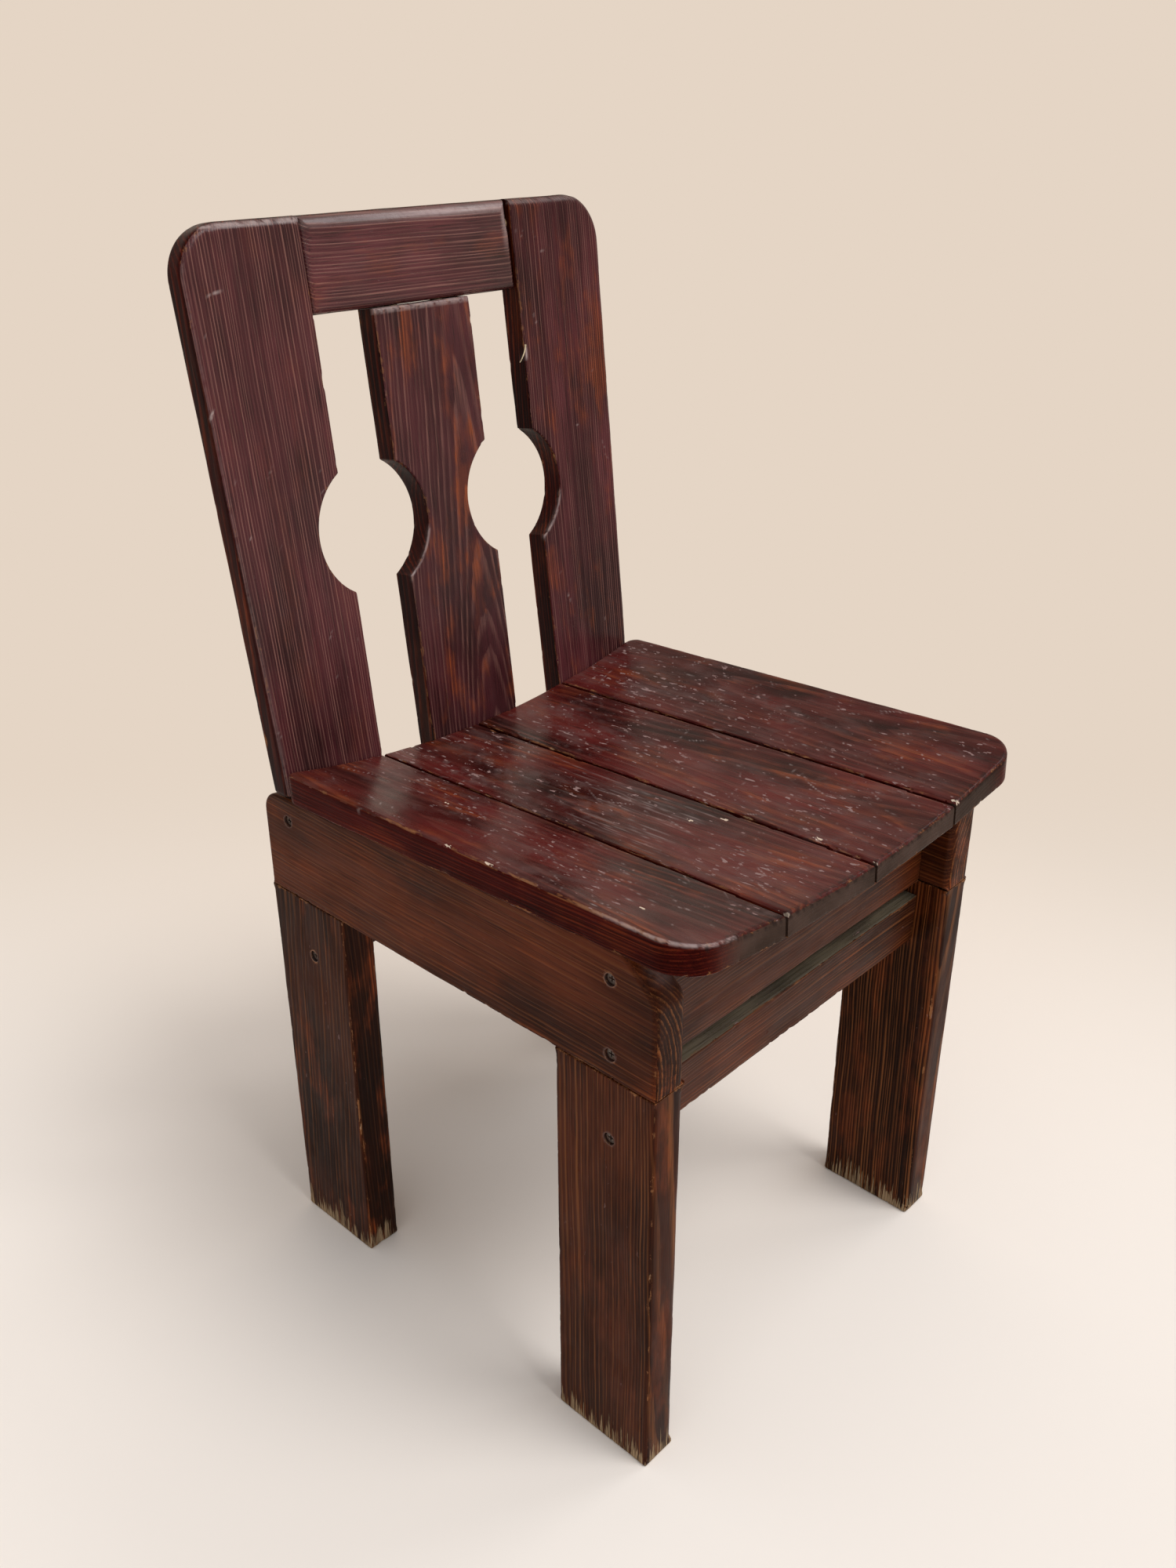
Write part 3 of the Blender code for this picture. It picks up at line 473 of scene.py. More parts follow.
    def scratches(self, lines, strength=1.0, deep=0.004):
        across, depth, along = self.local.T
        return self.mark("scratch", strokes(across, along, lines) * strength * (depth < deep))

    def build(self, timber, rim=None, axis=(0, 0, 1)):
        """Link the piece with its finish, and with the RIM finish on the faces that stand along AXIS."""
        self.mesh.set_sharp_from_angle(angle=math.radians(38))
        for key, values in (*self.marks.items(), ("edge", self.edge)):
            layer = self.mesh.attributes.new(key, "FLOAT", "POINT")
            layer.data.foreach_set("value", values.astype(np.float32))
        layer = self.mesh.attributes.new("plank", "FLOAT_VECTOR", "POINT")
        layer.data.foreach_set("vector", self.local.astype(np.float32).reshape(-1))
        self.mesh.materials.clear()
        self.mesh.materials.append(stained_pine(self.mesh.name + "_finish", timber))
        if rim:
            standing = np.abs(triples(self.mesh.polygons, "normal") @ np.array(axis)) < 0.5
            self.mesh.materials.append(stained_pine(self.mesh.name + "_rim_finish", rim))
            self.mesh.polygons.foreach_set("material_index", standing.astype(np.int32))
        piece = linked(self.mesh.name, self.mesh)
        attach(piece, "root")
        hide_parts(self.node)
        return piece


def box_edge(low, high):
    """Distance from the nearest arris of a box: the second smallest distance from its three pairs of faces."""
    low, high = np.array(low), np.array(high)

    def edge(points):
        away = np.abs(np.minimum(points - low, high - points))
        return np.sort(away, axis=1)[:, 1]

    return edge


def constant_edge(points):
    """No arris near."""
    return np.full(len(points), 0.01)


class Leaning:
    """Back boards: depth goes back from their front faces, and along goes up their lean."""

    @staticmethod
    def to_chair(points):
        lean = sizes().lean
        across, depth, along = points.T
        y = BACK_PIVOT_Y + along * math.sin(lean) + depth * math.cos(lean) - MIDDLE_Y
        z = BACK_PIVOT_Z + along * math.cos(lean) - depth * math.sin(lean)
        return np.stack([across, y, z], axis=1)

    @staticmethod
    def to_board(points):
        lean = sizes().lean
        y, z = points[:, 1] + MIDDLE_Y - BACK_PIVOT_Y, points[:, 2] - BACK_PIVOT_Z
        depth = y * math.cos(lean) - z * math.sin(lean)
        return np.stack([points[:, 0], depth, y * math.sin(lean) + z * math.cos(lean)], axis=1)


def seat_top(x):
    """The hollowed seat: a parabola across the chair."""
    return sizes().seat_hollow * (x / SEAT_EDGE) ** 2


def seat_underside(x):
    """The underside of the seat, straight under each board."""
    at_seam = SEAT_UNDERSIDE_RISE * (SEAM_OFFSET / SEAT_EDGE) ** 2
    x = np.abs(x)
    share = (x - SEAM_OFFSET) / (SEAT_EDGE - SEAM_OFFSET)
    outer = at_seam + (SEAT_UNDERSIDE_RISE - at_seam) * share
    return np.where(x <= SEAM_OFFSET, at_seam * x / SEAM_OFFSET, outer) - SEAT_THICKNESS


class Falling:
    """Seat boards: along is Y, depth goes down from the hollowed top, and the whole falls to the back."""

    @staticmethod
    def to_chair(points):
        fall = sizes().fall
        across, depth, along = points.T
        over = seat_top(across) - depth
        y = along * math.cos(fall) + over * math.sin(fall) - MIDDLE_Y
        z = sizes().seat_height - along * math.sin(fall) + over * math.cos(fall)
        return np.stack([across, y, z], axis=1)


def chain(*parts):
    return np.concatenate([np.asarray(p, float).reshape(-1, 2) for p in parts])


def constant(value):
    return lambda across, along: np.full(len(across), value)


def stile_half(along):
    """Half width of the back, which widens a little towards the top."""
    return STILE_OUTER_AT_SEAT + (STILE_OUTER_AT_TOP - STILE_OUTER_AT_SEAT) * along / sizes().back_height


def keyhole_bite(middle, turn):
    """The arc that a keyhole cuts from a board's edge, about the heading MIDDLE, walked up for a TURN of 1."""
    radius = sizes().keyhole_radius
    half = math.degrees(math.acos((STILE_INNER - KEYHOLE_CENTRE) / radius)) * turn
    return arc((KEYHOLE_CENTRE, KEYHOLE_HEIGHT), radius, middle - half, middle + half, 72)


def past_keyhole(across, along):
    """Distance outwards from the nearer keyhole's rim."""
    return np.hypot(np.abs(across) - KEYHOLE_CENTRE, along - KEYHOLE_HEIGHT) - sizes().keyhole_radius


def stile_board(side):
    """A stile: straight or bitten by the keyhole on one edge, with one big round corner and a shouldered foot."""
    top, radius = sizes().back_height, sizes().keyhole_radius
    tongue = SIDE_INNER - 2 * GAP
    shoulder_in, shoulder_out = -0.0208, -0.0162
    corner = (STILE_OUTER_AT_TOP - STILE_CORNER_RADIUS - 0.0008, top - STILE_CORNER_RADIUS)
    outer = chain(
        (tongue, BACK_FOOT),
        (tongue, shoulder_in - 0.001),
        (tongue + 0.0008, shoulder_in),
        (stile_half(shoulder_out) - 0.002, shoulder_out),
        (stile_half(shoulder_out), shoulder_out + 0.0015),
        arc(corner, STILE_CORNER_RADIUS, 0, 45),
    )
    head = chain((STILE_INNER + GAP, top), (corner[0], top), arc(corner, STILE_CORNER_RADIUS, 89, 45))
    inner = chain(
        (STILE_INNER, BACK_FOOT), keyhole_bite(0, 1), (STILE_INNER, TOP_RAIL_UNDERSIDE), (STILE_INNER + GAP, top)
    )
    foot = chain((STILE_INNER, BACK_FOOT), (tongue, BACK_FOOT))
    rows = int((top - BACK_FOOT) / GRID)
    sides = (
        resampled(foot, GRID * 1.3),
        matched(outer, rows),
        resampled(head, GRID * 1.3),
        matched(inner, rows),
    )

    def front_round(across, along):
        at_joint = (across < STILE_INNER + 0.004) & (along > TOP_RAIL_UNDERSIDE - 0.002)
        slot = across < KEYHOLE_CENTRE + radius + 0.002
        outside = 0.0055 + 0.0025 * smooth(top - 0.003, top - 0.001, along)
        rounding = np.where(slot & (along < top - 0.004), 0.0016, outside)
        rounding = np.where(at_joint & (along < top - 0.001), 0.0022, rounding)
        return np.where(along < BACK_FOOT + 0.002, 0.0008, rounding)

    def back_round(across, along):
        slot = (across < KEYHOLE_CENTRE + radius + 0.002) & (along < top - 0.004)
        return np.where(slot | (along < BACK_FOOT + 0.002), 0.0014, 0.0035)

    points, faces = board_surface(sides, constant(BOARD_THICKNESS), front_round, back_round)
    shear = smooth(0.03, 0.0, points[:, 2]) * smooth(SIDE_INNER - 0.002, SIDE_INNER + 0.003, points[:, 0])
    points[:, 2] += shear * (points[:, 1] * (math.tan(sizes().lean) - math.tan(sizes().fall)))

    def edge(local):
        across, depth, along = local.T
        across = np.abs(across)
        inner_side = np.minimum(across - STILE_INNER, past_keyhole(across, along))
        in_corner = (across > corner[0]) & (along > corner[1])
        round_corner = STILE_CORNER_RADIUS - np.hypot(across - corner[0], along - corner[1])
        plain = np.minimum(stile_half(along) - across, top - along)
        outer_side = np.where(in_corner, round_corner, plain)
        outline = np.abs(np.minimum(inner_side, outer_side))
        through = np.minimum(depth, BOARD_THICKNESS - depth)
        return np.maximum(outline, through)

    points[:, 0] *= side
    name = side_name(side)
    return Board(f"{name}_stile_board", f"{name}_stile", "stained_pine_back", points, faces, Leaning, edge)


def splat_board():
    """The splat: a board waisted by both keyholes."""
    top = TOP_RAIL_UNDERSIDE - GAP
    right = chain((SPLAT_HALF, BACK_FOOT), keyhole_bite(180, -1), (SPLAT_HALF, top))
    left = right * (-1, 1)
    rows = int((top - BACK_FOOT) / GRID)
    foot = chain((-SPLAT_HALF, BACK_FOOT), (SPLAT_HALF, BACK_FOOT))
    head = chain((-SPLAT_HALF, top), (SPLAT_HALF, top))
    sides = (resampled(foot, GRID), matched(right, rows), resampled(head, GRID), matched(left, rows))

    def front_round(across, along):
        return np.where(along > top - 0.0005, 0.0026, 0.0017)

    points, faces = board_surface(sides, constant(BOARD_THICKNESS), front_round, constant(0.0014))

    def edge(local):
        across, depth, along = local.T
        inner_side = np.minimum(SPLAT_HALF - np.abs(across), past_keyhole(across, along))
        outline = np.abs(np.minimum(inner_side, top - along))
        return np.maximum(outline, np.minimum(depth, BOARD_THICKNESS - depth))

    return Board("centre_splat_board", "centre_splat", "stained_pine_back", points, faces, Leaning, edge)


def top_rail_board():
    """The top rail: softened most along its upper front edge and its ends, like a pillow."""
    top = sizes().back_height
    half = STILE_INNER - GAP
    low = TOP_RAIL_UNDERSIDE
    sides = (
        resampled(chain((-half, low), (half, low)), GRID),
        resampled(chain((half, low), (half, top)), GRID),
        resampled(chain((-half, top), (half, top)), GRID),
        resampled(chain((-half, low), (-half, top)), GRID),
    )

    def front_round(across, along):
        upper = smooth(top - 0.032, top - 0.011, along)
        return 0.0060 + 0.0040 * upper

    points, faces = board_surface(
        sides, constant(BOARD_THICKNESS - TOP_RAIL_RECESS), front_round, constant(0.0022), round_steps=10
    )
    across, depth, along = points.T
    swell = (1 - (across / half) ** 4) * (1 - ((along - (low + top) / 2) / ((top - low) / 2)) ** 4)
    points[:, 1] = TOP_RAIL_RECESS + depth - 0.0011 * np.clip(swell, 0, 1) * (depth < 0.001)
    edge = box_edge((-half, TOP_RAIL_RECESS, low), (half, BOARD_THICKNESS, top))
    return Board("top_rail_board", "top_rail", "stained_pine_back", points, faces, Leaning, edge)


def seat_board(number, low, high):
    """A seat board, whose outer corners are rounded in plan where it is the outer one of its side."""
    side = 1 if low + high > 0 else -1
    inner, outer = sorted((abs(low), abs(high)))
    front, back = -SEAT_OVERHANG, BACK_PIVOT_Y - 0.0019
    rows = int((back - front) / GRID)
    if outer > SEAM_OFFSET + 0.01:
        radius, small = SEAT_FRONT_RADIUS, SEAT_BACK_RADIUS
        front_turn = arc((outer - radius, front + radius), radius, -45, 0)
        back_turn = arc((outer - small, back - small), small, 0, 45)
        right = chain(front_turn, back_turn)
        bottom = chain((inner, front), arc((outer - radius, front + radius), radius, -90, -45))
        top = chain((inner, back), arc((outer - small, back - small), small, 90, 45))
    else:
        right = chain((outer, front), (outer, back))
        bottom = chain((inner, front), (outer, front))
        top = chain((inner, back), (outer, back))
    left = chain((inner, front), (inner, back))
    sides = (resampled(bottom, GRID * 0.9), matched(right, rows), resampled(top, GRID), matched(left, rows))

    def thickness(across, along):
        return seat_top(across) - seat_underside(across)

    def top_round(across, along):
        return np.where((along < front + 0.04) | (across > SEAM_OFFSET + 0.02), 0.0034, 0.0018)

    points, faces = board_surface(sides, thickness, top_round, constant(0.0018))

    def edge(local):
        across, depth, along = local.T
        across = np.abs(across)
        plain = np.minimum(np.minimum(across - inner, outer - across), np.minimum(along - front, back - along))
        if outer > SEAM_OFFSET + 0.01:
            away = radius - np.hypot(across - (outer - radius), along - (front + radius))
            turned = (across > outer - radius) & (along < front + radius)
            plain = np.where(turned, away, plain)
        through = np.minimum(depth, thickness(across, along) - depth)
        return np.maximum(np.abs(plain), np.abs(through))

    points[:, 0] *= side
    return Board(
        f"seat_plank_{number}", f"seat_board_{number}", "stained_pine_seat", points, faces, Falling, edge
    )


class Sideways:
    """Side planks: across is Y from the front, depth goes in from the outer face, and along is up."""

    def __init__(self, side):
        self.side = side

    def to_chair(self, points):
        across, depth, along = points.T
        return np.stack([self.side * (SIDE_OUTER - depth), across - MIDDLE_Y, along], axis=1)

    def to_board(self, points):
        return np.stack([points[:, 1] + MIDDLE_Y, SIDE_OUTER - self.side * points[:, 0], points[:, 2]], axis=1)


class Crosswise:
    """Rails: across is X, depth goes back from the front face, and along is up."""

    def __init__(self, front):
        self.front = front

    def to_chair(self, points):
        across, depth, along = points.T
        return np.stack([across, self.front + depth - MIDDLE_Y, along], axis=1)


def apron_board(side):
    """A side apron: chamfered at its front, rounded at its back, its top following the seat."""
    chamfer, soft, back_soft = 0.028, 0.016, 0.018
    thickness = SIDE_OUTER - SIDE_INNER
    slope = (seat_underside(np.array([SIDE_OUTER])) - seat_underside(np.array([SIDE_INNER])))[0] / thickness
    top_front = sizes().seat_height + float(seat_underside(np.array([SIDE_OUTER]))[0]) - 0.0008
    fall = math.tan(sizes().fall)
    top_back = top_front - FRAME_DEPTH * fall
    low = APRON_UNDERSIDE + GAP
    turn = soft * math.tan(math.radians(22.5))
    lower = arc((soft, top_front - chamfer - turn), soft, 180, 135)
    upper_centre = (chamfer + turn, top_front - chamfer * fall - soft)
    upper = arc(upper_centre, soft, 135, 90 - math.degrees(sizes().fall))
    back_centre = (FRAME_DEPTH - back_soft, top_back - back_soft)
    back = arc(back_centre, back_soft, 90, 0)
    left = chain((0, low), lower, upper[:1])
    top = chain(upper, back[:12])
    right = chain((FRAME_DEPTH, low), back[:10:-1])
    bottom = chain((0, low), (FRAME_DEPTH, low))
    columns = int(FRAME_DEPTH / GRID)
    rows = int((top_front - low) / GRID)
    sides = (matched(bottom, columns), matched(right, rows), matched(top, columns), matched(left, rows))

    def outer_round(across, along):
        return np.where(along < low + 0.001, 0.0010, np.where(across < 0.045, 0.0042, 0.0028))

    def inner_round(across, along):
        return np.where(along < low + 0.001, 0.0010, np.where(across < 0.030, 0.0065, 0.0016))

    points, faces = board_surface(sides, constant(thickness), outer_round, inner_round, round_steps=8)
    points[:, 2] -= points[:, 1] * slope * smooth(top_back - 0.03, top_back - 0.002, points[:, 2])
    edge = box_edge((0, 0, low), (FRAME_DEPTH, thickness, top_front))
    name = side_name(side)
    return Board(f"{name}_apron_plank", f"{name}_apron", "stained_pine_frame", points, faces, Sideways(side), edge)


def leg_board(side, end):
    """A board leg: outer arrises eased, the front inner arris rounded more, the foot rubbed round."""
    thickness = SIDE_OUTER - SIDE_INNER
    start = 0 if end == "front" else FRAME_DEPTH - LEG_WIDTH
    stop = start + LEG_WIDTH
    rub = 0.0022
    low = chain(
        (start, rub), arc((start + rub, rub), rub, 180, 270, 6), arc((stop - rub, rub), rub, 270, 360, 6)
    )
    rows = int(LEG_TOP / (GRID * 1.1))
    sides = (
        resampled(low, GRID),
        matched(chain((stop, rub), (stop, LEG_TOP)), rows),
        resampled(chain((start, LEG_TOP), (stop, LEG_TOP)), GRID),
        matched(chain((start, rub), (start, LEG_TOP)), rows),
    )

    def rounding(front_edge):
        """Small at both ends of the leg, and as large as FRONT_EDGE along its front."""
        def by_place(across, along):
            between_ends = smooth(0.003, 0.009, along) * smooth(LEG_TOP - 0.0005, LEG_TOP - 0.006, along)
            at_side = np.where((end == "front") & (across < start + 0.002), front_edge, 0.0028)
            at_end = np.where(along < LEG_TOP / 2, 0.0016, 0.0009)
            return at_end + (at_side - at_end) * between_ends
        return by_place

    points, faces = board_surface(sides, constant(thickness), rounding(0.0040), rounding(0.0065))
    edge = box_edge((start, 0, 0), (stop, thickness, LEG_TOP))
    name = f"{end}_{side_name(side)}_leg"
    return Board(f"{name}_plank", name, "stained_pine_frame", points, faces, Sideways(side), edge)


def rail_sides(low, high_of, step):
    """The edge chains of a rail between the side frames, its top at the height that HIGH_OF gives, and its box."""
    half = SIDE_INNER - 2 * GAP
    stations = np.linspace(-half, half, 201)
    top = np.stack([stations, high_of(stations)], axis=1)
    rows = int((top[0, 1] - low) / GRID)
    sides = (
        resampled(chain((-half, low), (half, low)), step),
        matched(chain((half, low), top[-1:]), rows),
        resampled(top, step),
        matched(chain((-half, low), top[:1]), rows),
    )
    return sides, half, float(top[:, 1].max())


def rail_board(name, inset_front, low, high_of):
    """A rail between the side frames: its top is straight, or follows the underside of the seat."""
    sides, half, highest = rail_sides(low, high_of, GRID * 1.3)
    points, faces = board_surface(sides, constant(RAIL_THICKNESS), constant(0.0014), constant(0.0014), 5, 8)
    edge = box_edge((-half, 0, low), (half, RAIL_THICKNESS, highest))
    return Board(f"{name}_plank", name, "stained_pine_frame", points, faces, Crosswise(inset_front), edge)


def leaning_rail_board():
    """The rail before which the back boards stand, its top cut to the seat's underside."""
    lean, fall = sizes().lean, sizes().fall

    def under_seat(x):
        seat_y = BACK_PIVOT_Y - RAIL_THICKNESS
        under = sizes().seat_height - seat_y * math.sin(fall) + seat_underside(x) * math.cos(fall) - 2 * GAP
        return (under - BACK_PIVOT_Z) / math.cos(lean) - 0.0042

    sides, half, highest = rail_sides(BACK_FOOT, under_seat, GRID * 1.5)
    points, faces = board_surface(sides, constant(RAIL_THICKNESS - GAP), constant(0.0014), constant(0.0010), 4, 6)
    points[:, 1] -= RAIL_THICKNESS + GAP / 2
    edge = box_edge((-half, -RAIL_THICKNESS, BACK_FOOT), (half, -GAP, highest))
    return Board(
        "back_upper_rail_plank", "back_upper_rail", "stained_pine_frame", points, faces, Leaning, edge
    )


class Net:
    """A finish's node tree, with short calls for the nodes that the finishes share."""

    def __init__(self, name, owner=None):
        self.owner = owner or bpy.data.materials.new(name)
        self.owner.use_nodes = True
        self.tree = self.owner.node_tree
        self.shader = self.tree.nodes.get("Principled BSDF")

    def put(self, socket, value):
        if isinstance(value, bpy.types.NodeSocket):
            self.tree.links.new(value, socket)
        elif value is not None:
            socket.default_value = value

    def node(self, kind, values=(), **settings):
        """A new node. VALUES fill its inputs in their order, or by name where they come as a dict."""
        made = self.tree.nodes.new(kind)
        for key, value in settings.items():
            setattr(made, key, value)
        for key, value in values.items() if isinstance(values, dict) else enumerate(values):
            self.put(made.inputs[key], value)
        return made

    def math(self, operation, *values, clamp=False):
        return self.node("ShaderNodeMath", values, operation=operation, use_clamp=clamp).outputs[0]

    def times(self, a, b, clamp=False):
        return self.math("MULTIPLY", a, b, clamp=clamp)

    def scaled(self, a, b, c, clamp=False):
        """A times B, plus C."""
        return self.math("MULTIPLY_ADD", a, b, c, clamp=clamp)

    def between(self, value, low, high, to_low=0.0, to_high=1.0):
        """A soft S from TO_LOW, where VALUE is LOW, to TO_HIGH, where it is HIGH."""
        values = (value, low, high, to_low, to_high)
        return self.node("ShaderNodeMapRange", values, interpolation_type="SMOOTHSTEP").outputs[0]

    def attribute(self, name, output="Fac"):
        return self.node("ShaderNodeAttribute", attribute_name=name).outputs[output]

    def stretched(self, vector, scale, shift=(0, 0, 0)):
        return self.node("ShaderNodeMapping", {"Vector": vector, "Scale": scale, "Location": shift}).outputs[0]

    def noise(self, vector, scale=1.0, detail=3.0, roughness=0.55, colour=False):
        values = {"Vector": vector, "Scale": scale, "Detail": detail, "Roughness": roughness}
        return self.node("ShaderNodeTexNoise", values).outputs["Color" if colour else "Fac"]

    def noise_along(self, value):
        values = {"W": value, "Scale": 1.0, "Detail": 1.0}
        return self.node("ShaderNodeTexNoise", values, noise_dimensions="1D").outputs["Fac"]

    def ramp(self, value, stops):
        made = self.node("ShaderNodeValToRGB", (value,))
        elements = made.color_ramp.elements
        while len(elements) < len(stops):
            elements.new(0.5)
        for element, (place, level) in zip(elements, stops):
            element.position, element.color = place, (level, level, level, 1)
        return made.outputs[0]

    def mix(self, share, a, b, blend="MIX"):
        a, b = (c if isinstance(c, bpy.types.NodeSocket) else (*c, 1) for c in (a, b))
        values = {"Factor": share, "A": a, "B": b}
        return self.node("ShaderNodeMix", values, data_type="RGBA", blend_type=blend).outputs["Result"]

    def vector(self, operation, *values):
        return self.node("ShaderNodeVectorMath", values, operation=operation).outputs[0]

    def parts(self, vector):
        return tuple(self.node("ShaderNodeSeparateXYZ", (vector,)).outputs)

    def joined(self, x, y, z):
        return self.node("ShaderNodeCombineXYZ", (x, y, z)).outputs[0]

    def seen(self):
        """1 for the camera's rays, and for those that a shiny or clear surface sends on."""
        rays = self.node("ShaderNodeLightPath").outputs
        sent_on = self.math("MAXIMUM", rays["Is Glossy Ray"], rays["Is Transmission Ray"])
        return self.math("MAXIMUM", rays["Is Camera Ray"], sent_on)

    def show(self, share, near, far, output):
        """Send the OUTPUT node a blend of two shader nodes."""
        mixed = self.node("ShaderNodeMixShader", (share, near.outputs[0], far.outputs[0]))
        self.put(self.tree.nodes[output].inputs["Surface"], mixed.outputs[0])

    def finish(self, colour, rough, relief=None, strength=0.3, distance=0.0002):
        """Give the shader its colour, its roughness and a bump, and hand back the material."""
        self.put(self.shader.inputs["Base Color"], colour)
        self.put(self.shader.inputs["Roughness"], rough)
        if relief is not None:
            bump = self.node("ShaderNodeBump", {"Strength": strength, "Distance": distance, "Height": relief})
            self.put(self.shader.inputs["Normal"], bump.outputs[0])
        return self.owner


class Timber:
    """How one board was sawn and how it has worn.

    HEART is where the tree's heart lies in the board's section: (across, depth). RINGS counts the
    rings per metre, and WAVER is how far they stray. BAND is the pale share of each ring and LINES
    how much paler it is. SWING sets how much the stain's depth varies.
    """

    usual = dict(
        grain="z", taper=0.02, rings=320, waver=0.022, swing=1.0, band=0.30, lines=0.6, tone=1.0, warm=0.3,
        rubbed=0.5, scuffs=0.1, bare_foot=False, gloss=0.30, shine=0.25, sawn_front=False,
    )

    def __init__(self, seed, kind, heart, **wear):
        self.seed, self.kind, self.heart = seed, kind, heart
        for key, value in {**self.usual, **wear}.items():
            setattr(self, key, value)


def dimmed(colour, share):
    """A colour at a share of its strength."""
    return tuple(c * share for c in colour)


class Pine:
    """The nodes that the steps of one board's finish share: its places in the plank, and noise along the grain."""

    def __init__(self, name, timber):
        self.net, self.timber = Net(name), timber
        random = np.random.default_rng(timber.seed)
        self.shift = tuple(float(v) for v in random.uniform(-5, 5, 3))
        self.board = self.plank = self.net.attribute("plank", "Vector")
        self.places = self.net.parts(self.plank)
        if timber.grain == "x":
            across, deep, along = self.places
            self.plank = self.net.joined(along, deep, across)
            self.places = self.net.parts(self.plank)

    def grained(self, across, along, detail, roughness=0.55, colour=False):
        """Noise at these scales across and along the grain."""
        place = self.net.stretched(self.plank, (across, across, along), self.shift)
        return self.net.noise(place, 1.0, detail, roughness, colour)

    def rings(self):
        """Each point's distance from the heart line, plus a taper, made uneven by slow noise: 1 in hard rings."""
        net, timber = self.net, self.timber
        across, deep, along = self.places
        stray = net.parts(net.vector("SUBTRACT", self.grained(9, 2.2, 2.0, colour=True), (0.5, 0.5, 0.5)))
        offsets = [
            net.math("SUBTRACT", net.scaled(sway, timber.waver, place), heart)
            for sway, place, heart in zip(stray, (across, deep), timber.heart)
        ]
        squares = [net.times(offset, offset) for offset in offsets]
        radius = net.math("ADD", net.math("SQRT", net.math("ADD", *squares)), net.times(along, timber.taper))
        ring = net.scaled(self.grained(170, 8, 2.0), 0.55, net.times(radius, timber.rings))
        ring = net.scaled(net.noise_along(net.times(ring, 0.31)), 1.4, ring)
        band = timber.band
        stops = ((0.0, 0.0), (1 - band * 1.25, 0.05), (1 - band * 0.55, 1.0), (0.94, 0.85), (1.0, 0.0))
        hard = net.ramp(net.math("FRACT", ring), stops)
        each = net.noise_along(net.times(net.math("FLOOR", ring), 0.77))
        return net.times(hard, net.between(each, 0.32, 0.62, 0.25, 1.0))

    def stain(self, hard, fibre, tint):
        """Stain that is deep in some places and thin in others, with paler hard rings and dark pores."""
        net, timber = self.net, self.timber
        stain = dimmed(getattr(tint, timber.kind), timber.tone)
        streak, cloud = self.grained(260, 6, 3.0, 0.6), self.grained(17, 6, 3.0, 0.6)
        patch = self.grained(30, 11, 4.0, 0.65)
        thin, thick = 1 + 0.65 * timber.swing, 1 - 0.55 * timber.swing
        base = net.mix(net.between(cloud, 0.32, 0.68), dimmed(stain, thick), dimmed(stain, thin))
        share = net.times(hard, net.between(streak, 0.36, 0.60, 0.30, 1.0))
        share = net.times(share, timber.lines, clamp=True)
        colour = net.mix(share, base, getattr(tint, timber.kind + "_grain"))
        warm = net.times(net.between(patch, 0.50, 0.66), net.scaled(hard, 0.75, 0.25))
        colour = net.mix(net.times(warm, timber.warm), colour, tint.ember)
        pores = net.between(fibre, 0.32, 0.50, 0.50, 1.12)
        colour = net.mix(1.0, colour, net.joined(pores, pores, pores), "MULTIPLY")
        return self.sawn_front(colour, cloud) if timber.sawn_front else colour

    def sawn_front(self, colour, cloud):
        """Grey-brown end grain on the seat's front, which fades out towards its outer corners."""
        net = self.net
        side, _, out = net.parts(self.board)
        sawn = net.between(out, -0.0195, -0.0284)
        sawn = net.times(sawn, net.between(net.math("ABSOLUTE", side), 0.186, 0.142))
        end_grain = net.mix(net.between(cloud, 0.36, 0.62), (0.034, 0.019, 0.013), (0.062, 0.036, 0.027))
        return net.mix(sawn, colour, end_grain)

    def arrises(self, colour, fibre, tint):
        """Arrises rubbed to amber wood, and nicks down to bare wood. Hands back the colour and the nicks."""
        net, timber = self.net, self.timber
        ragged = self.grained(110, 42, 5.0, 0.72)
        wide = net.between(ragged, 0.44, 0.80, 0.0, 0.0050)
        rubbed = net.between(net.math("SUBTRACT", wide, net.attribute("edge")), -0.0002, 0.0010)
        rubbed = net.times(rubbed, timber.rubbed, clamp=True)
        amber = net.mix(net.between(fibre, 0.35, 0.62), dimmed(tint.amber, 0.4), tint.amber)
        colour = net.mix(rubbed, colour, amber)
        mark = net.attribute("nicks")
        nicks = net.times(net.between(mark, 0.35, 0.80), net.between(ragged, 0.42, 0.54))
        nicks = net.times(nicks, timber.rubbed, clamp=True)
        raw = net.mix(net.between(mark, 0.72, 0.95), tint.amber, tint.bare)
        return net.mix(nicks, colour, raw), nicks

    def scuffs(self, colour, tint):
        """Flecks and a dusty film. Hands back the colour and where the varnish is dull."""
        net = self.net
        fleck = self.grained(300, 105, 2.0, 0.55)
        area = net.times(net.between(self.grained(15, 9, 4.0, 0.6), 0.42, 0.62), self.timber.scuffs)
        area = net.math("MAXIMUM", area, net.attribute("dust"))
        limit = net.scaled(area, -0.165, 0.725)
        flecks = net.between(net.math("SUBTRACT", fleck, limit), 0.0, 0.030)
        film = net.times(net.between(self.grained(70, 26, 5.0, 0.7), 0.40, 0.66), net.times(area, 0.68))
        colour = net.mix(film, colour, dimmed(tint.scuff, 0.45))
        colour = net.mix(net.times(flecks, net.between(area, 0.0, 0.25)), colour, tint.scuff)
        return colour, net.math("MAXIMUM", flecks, film)

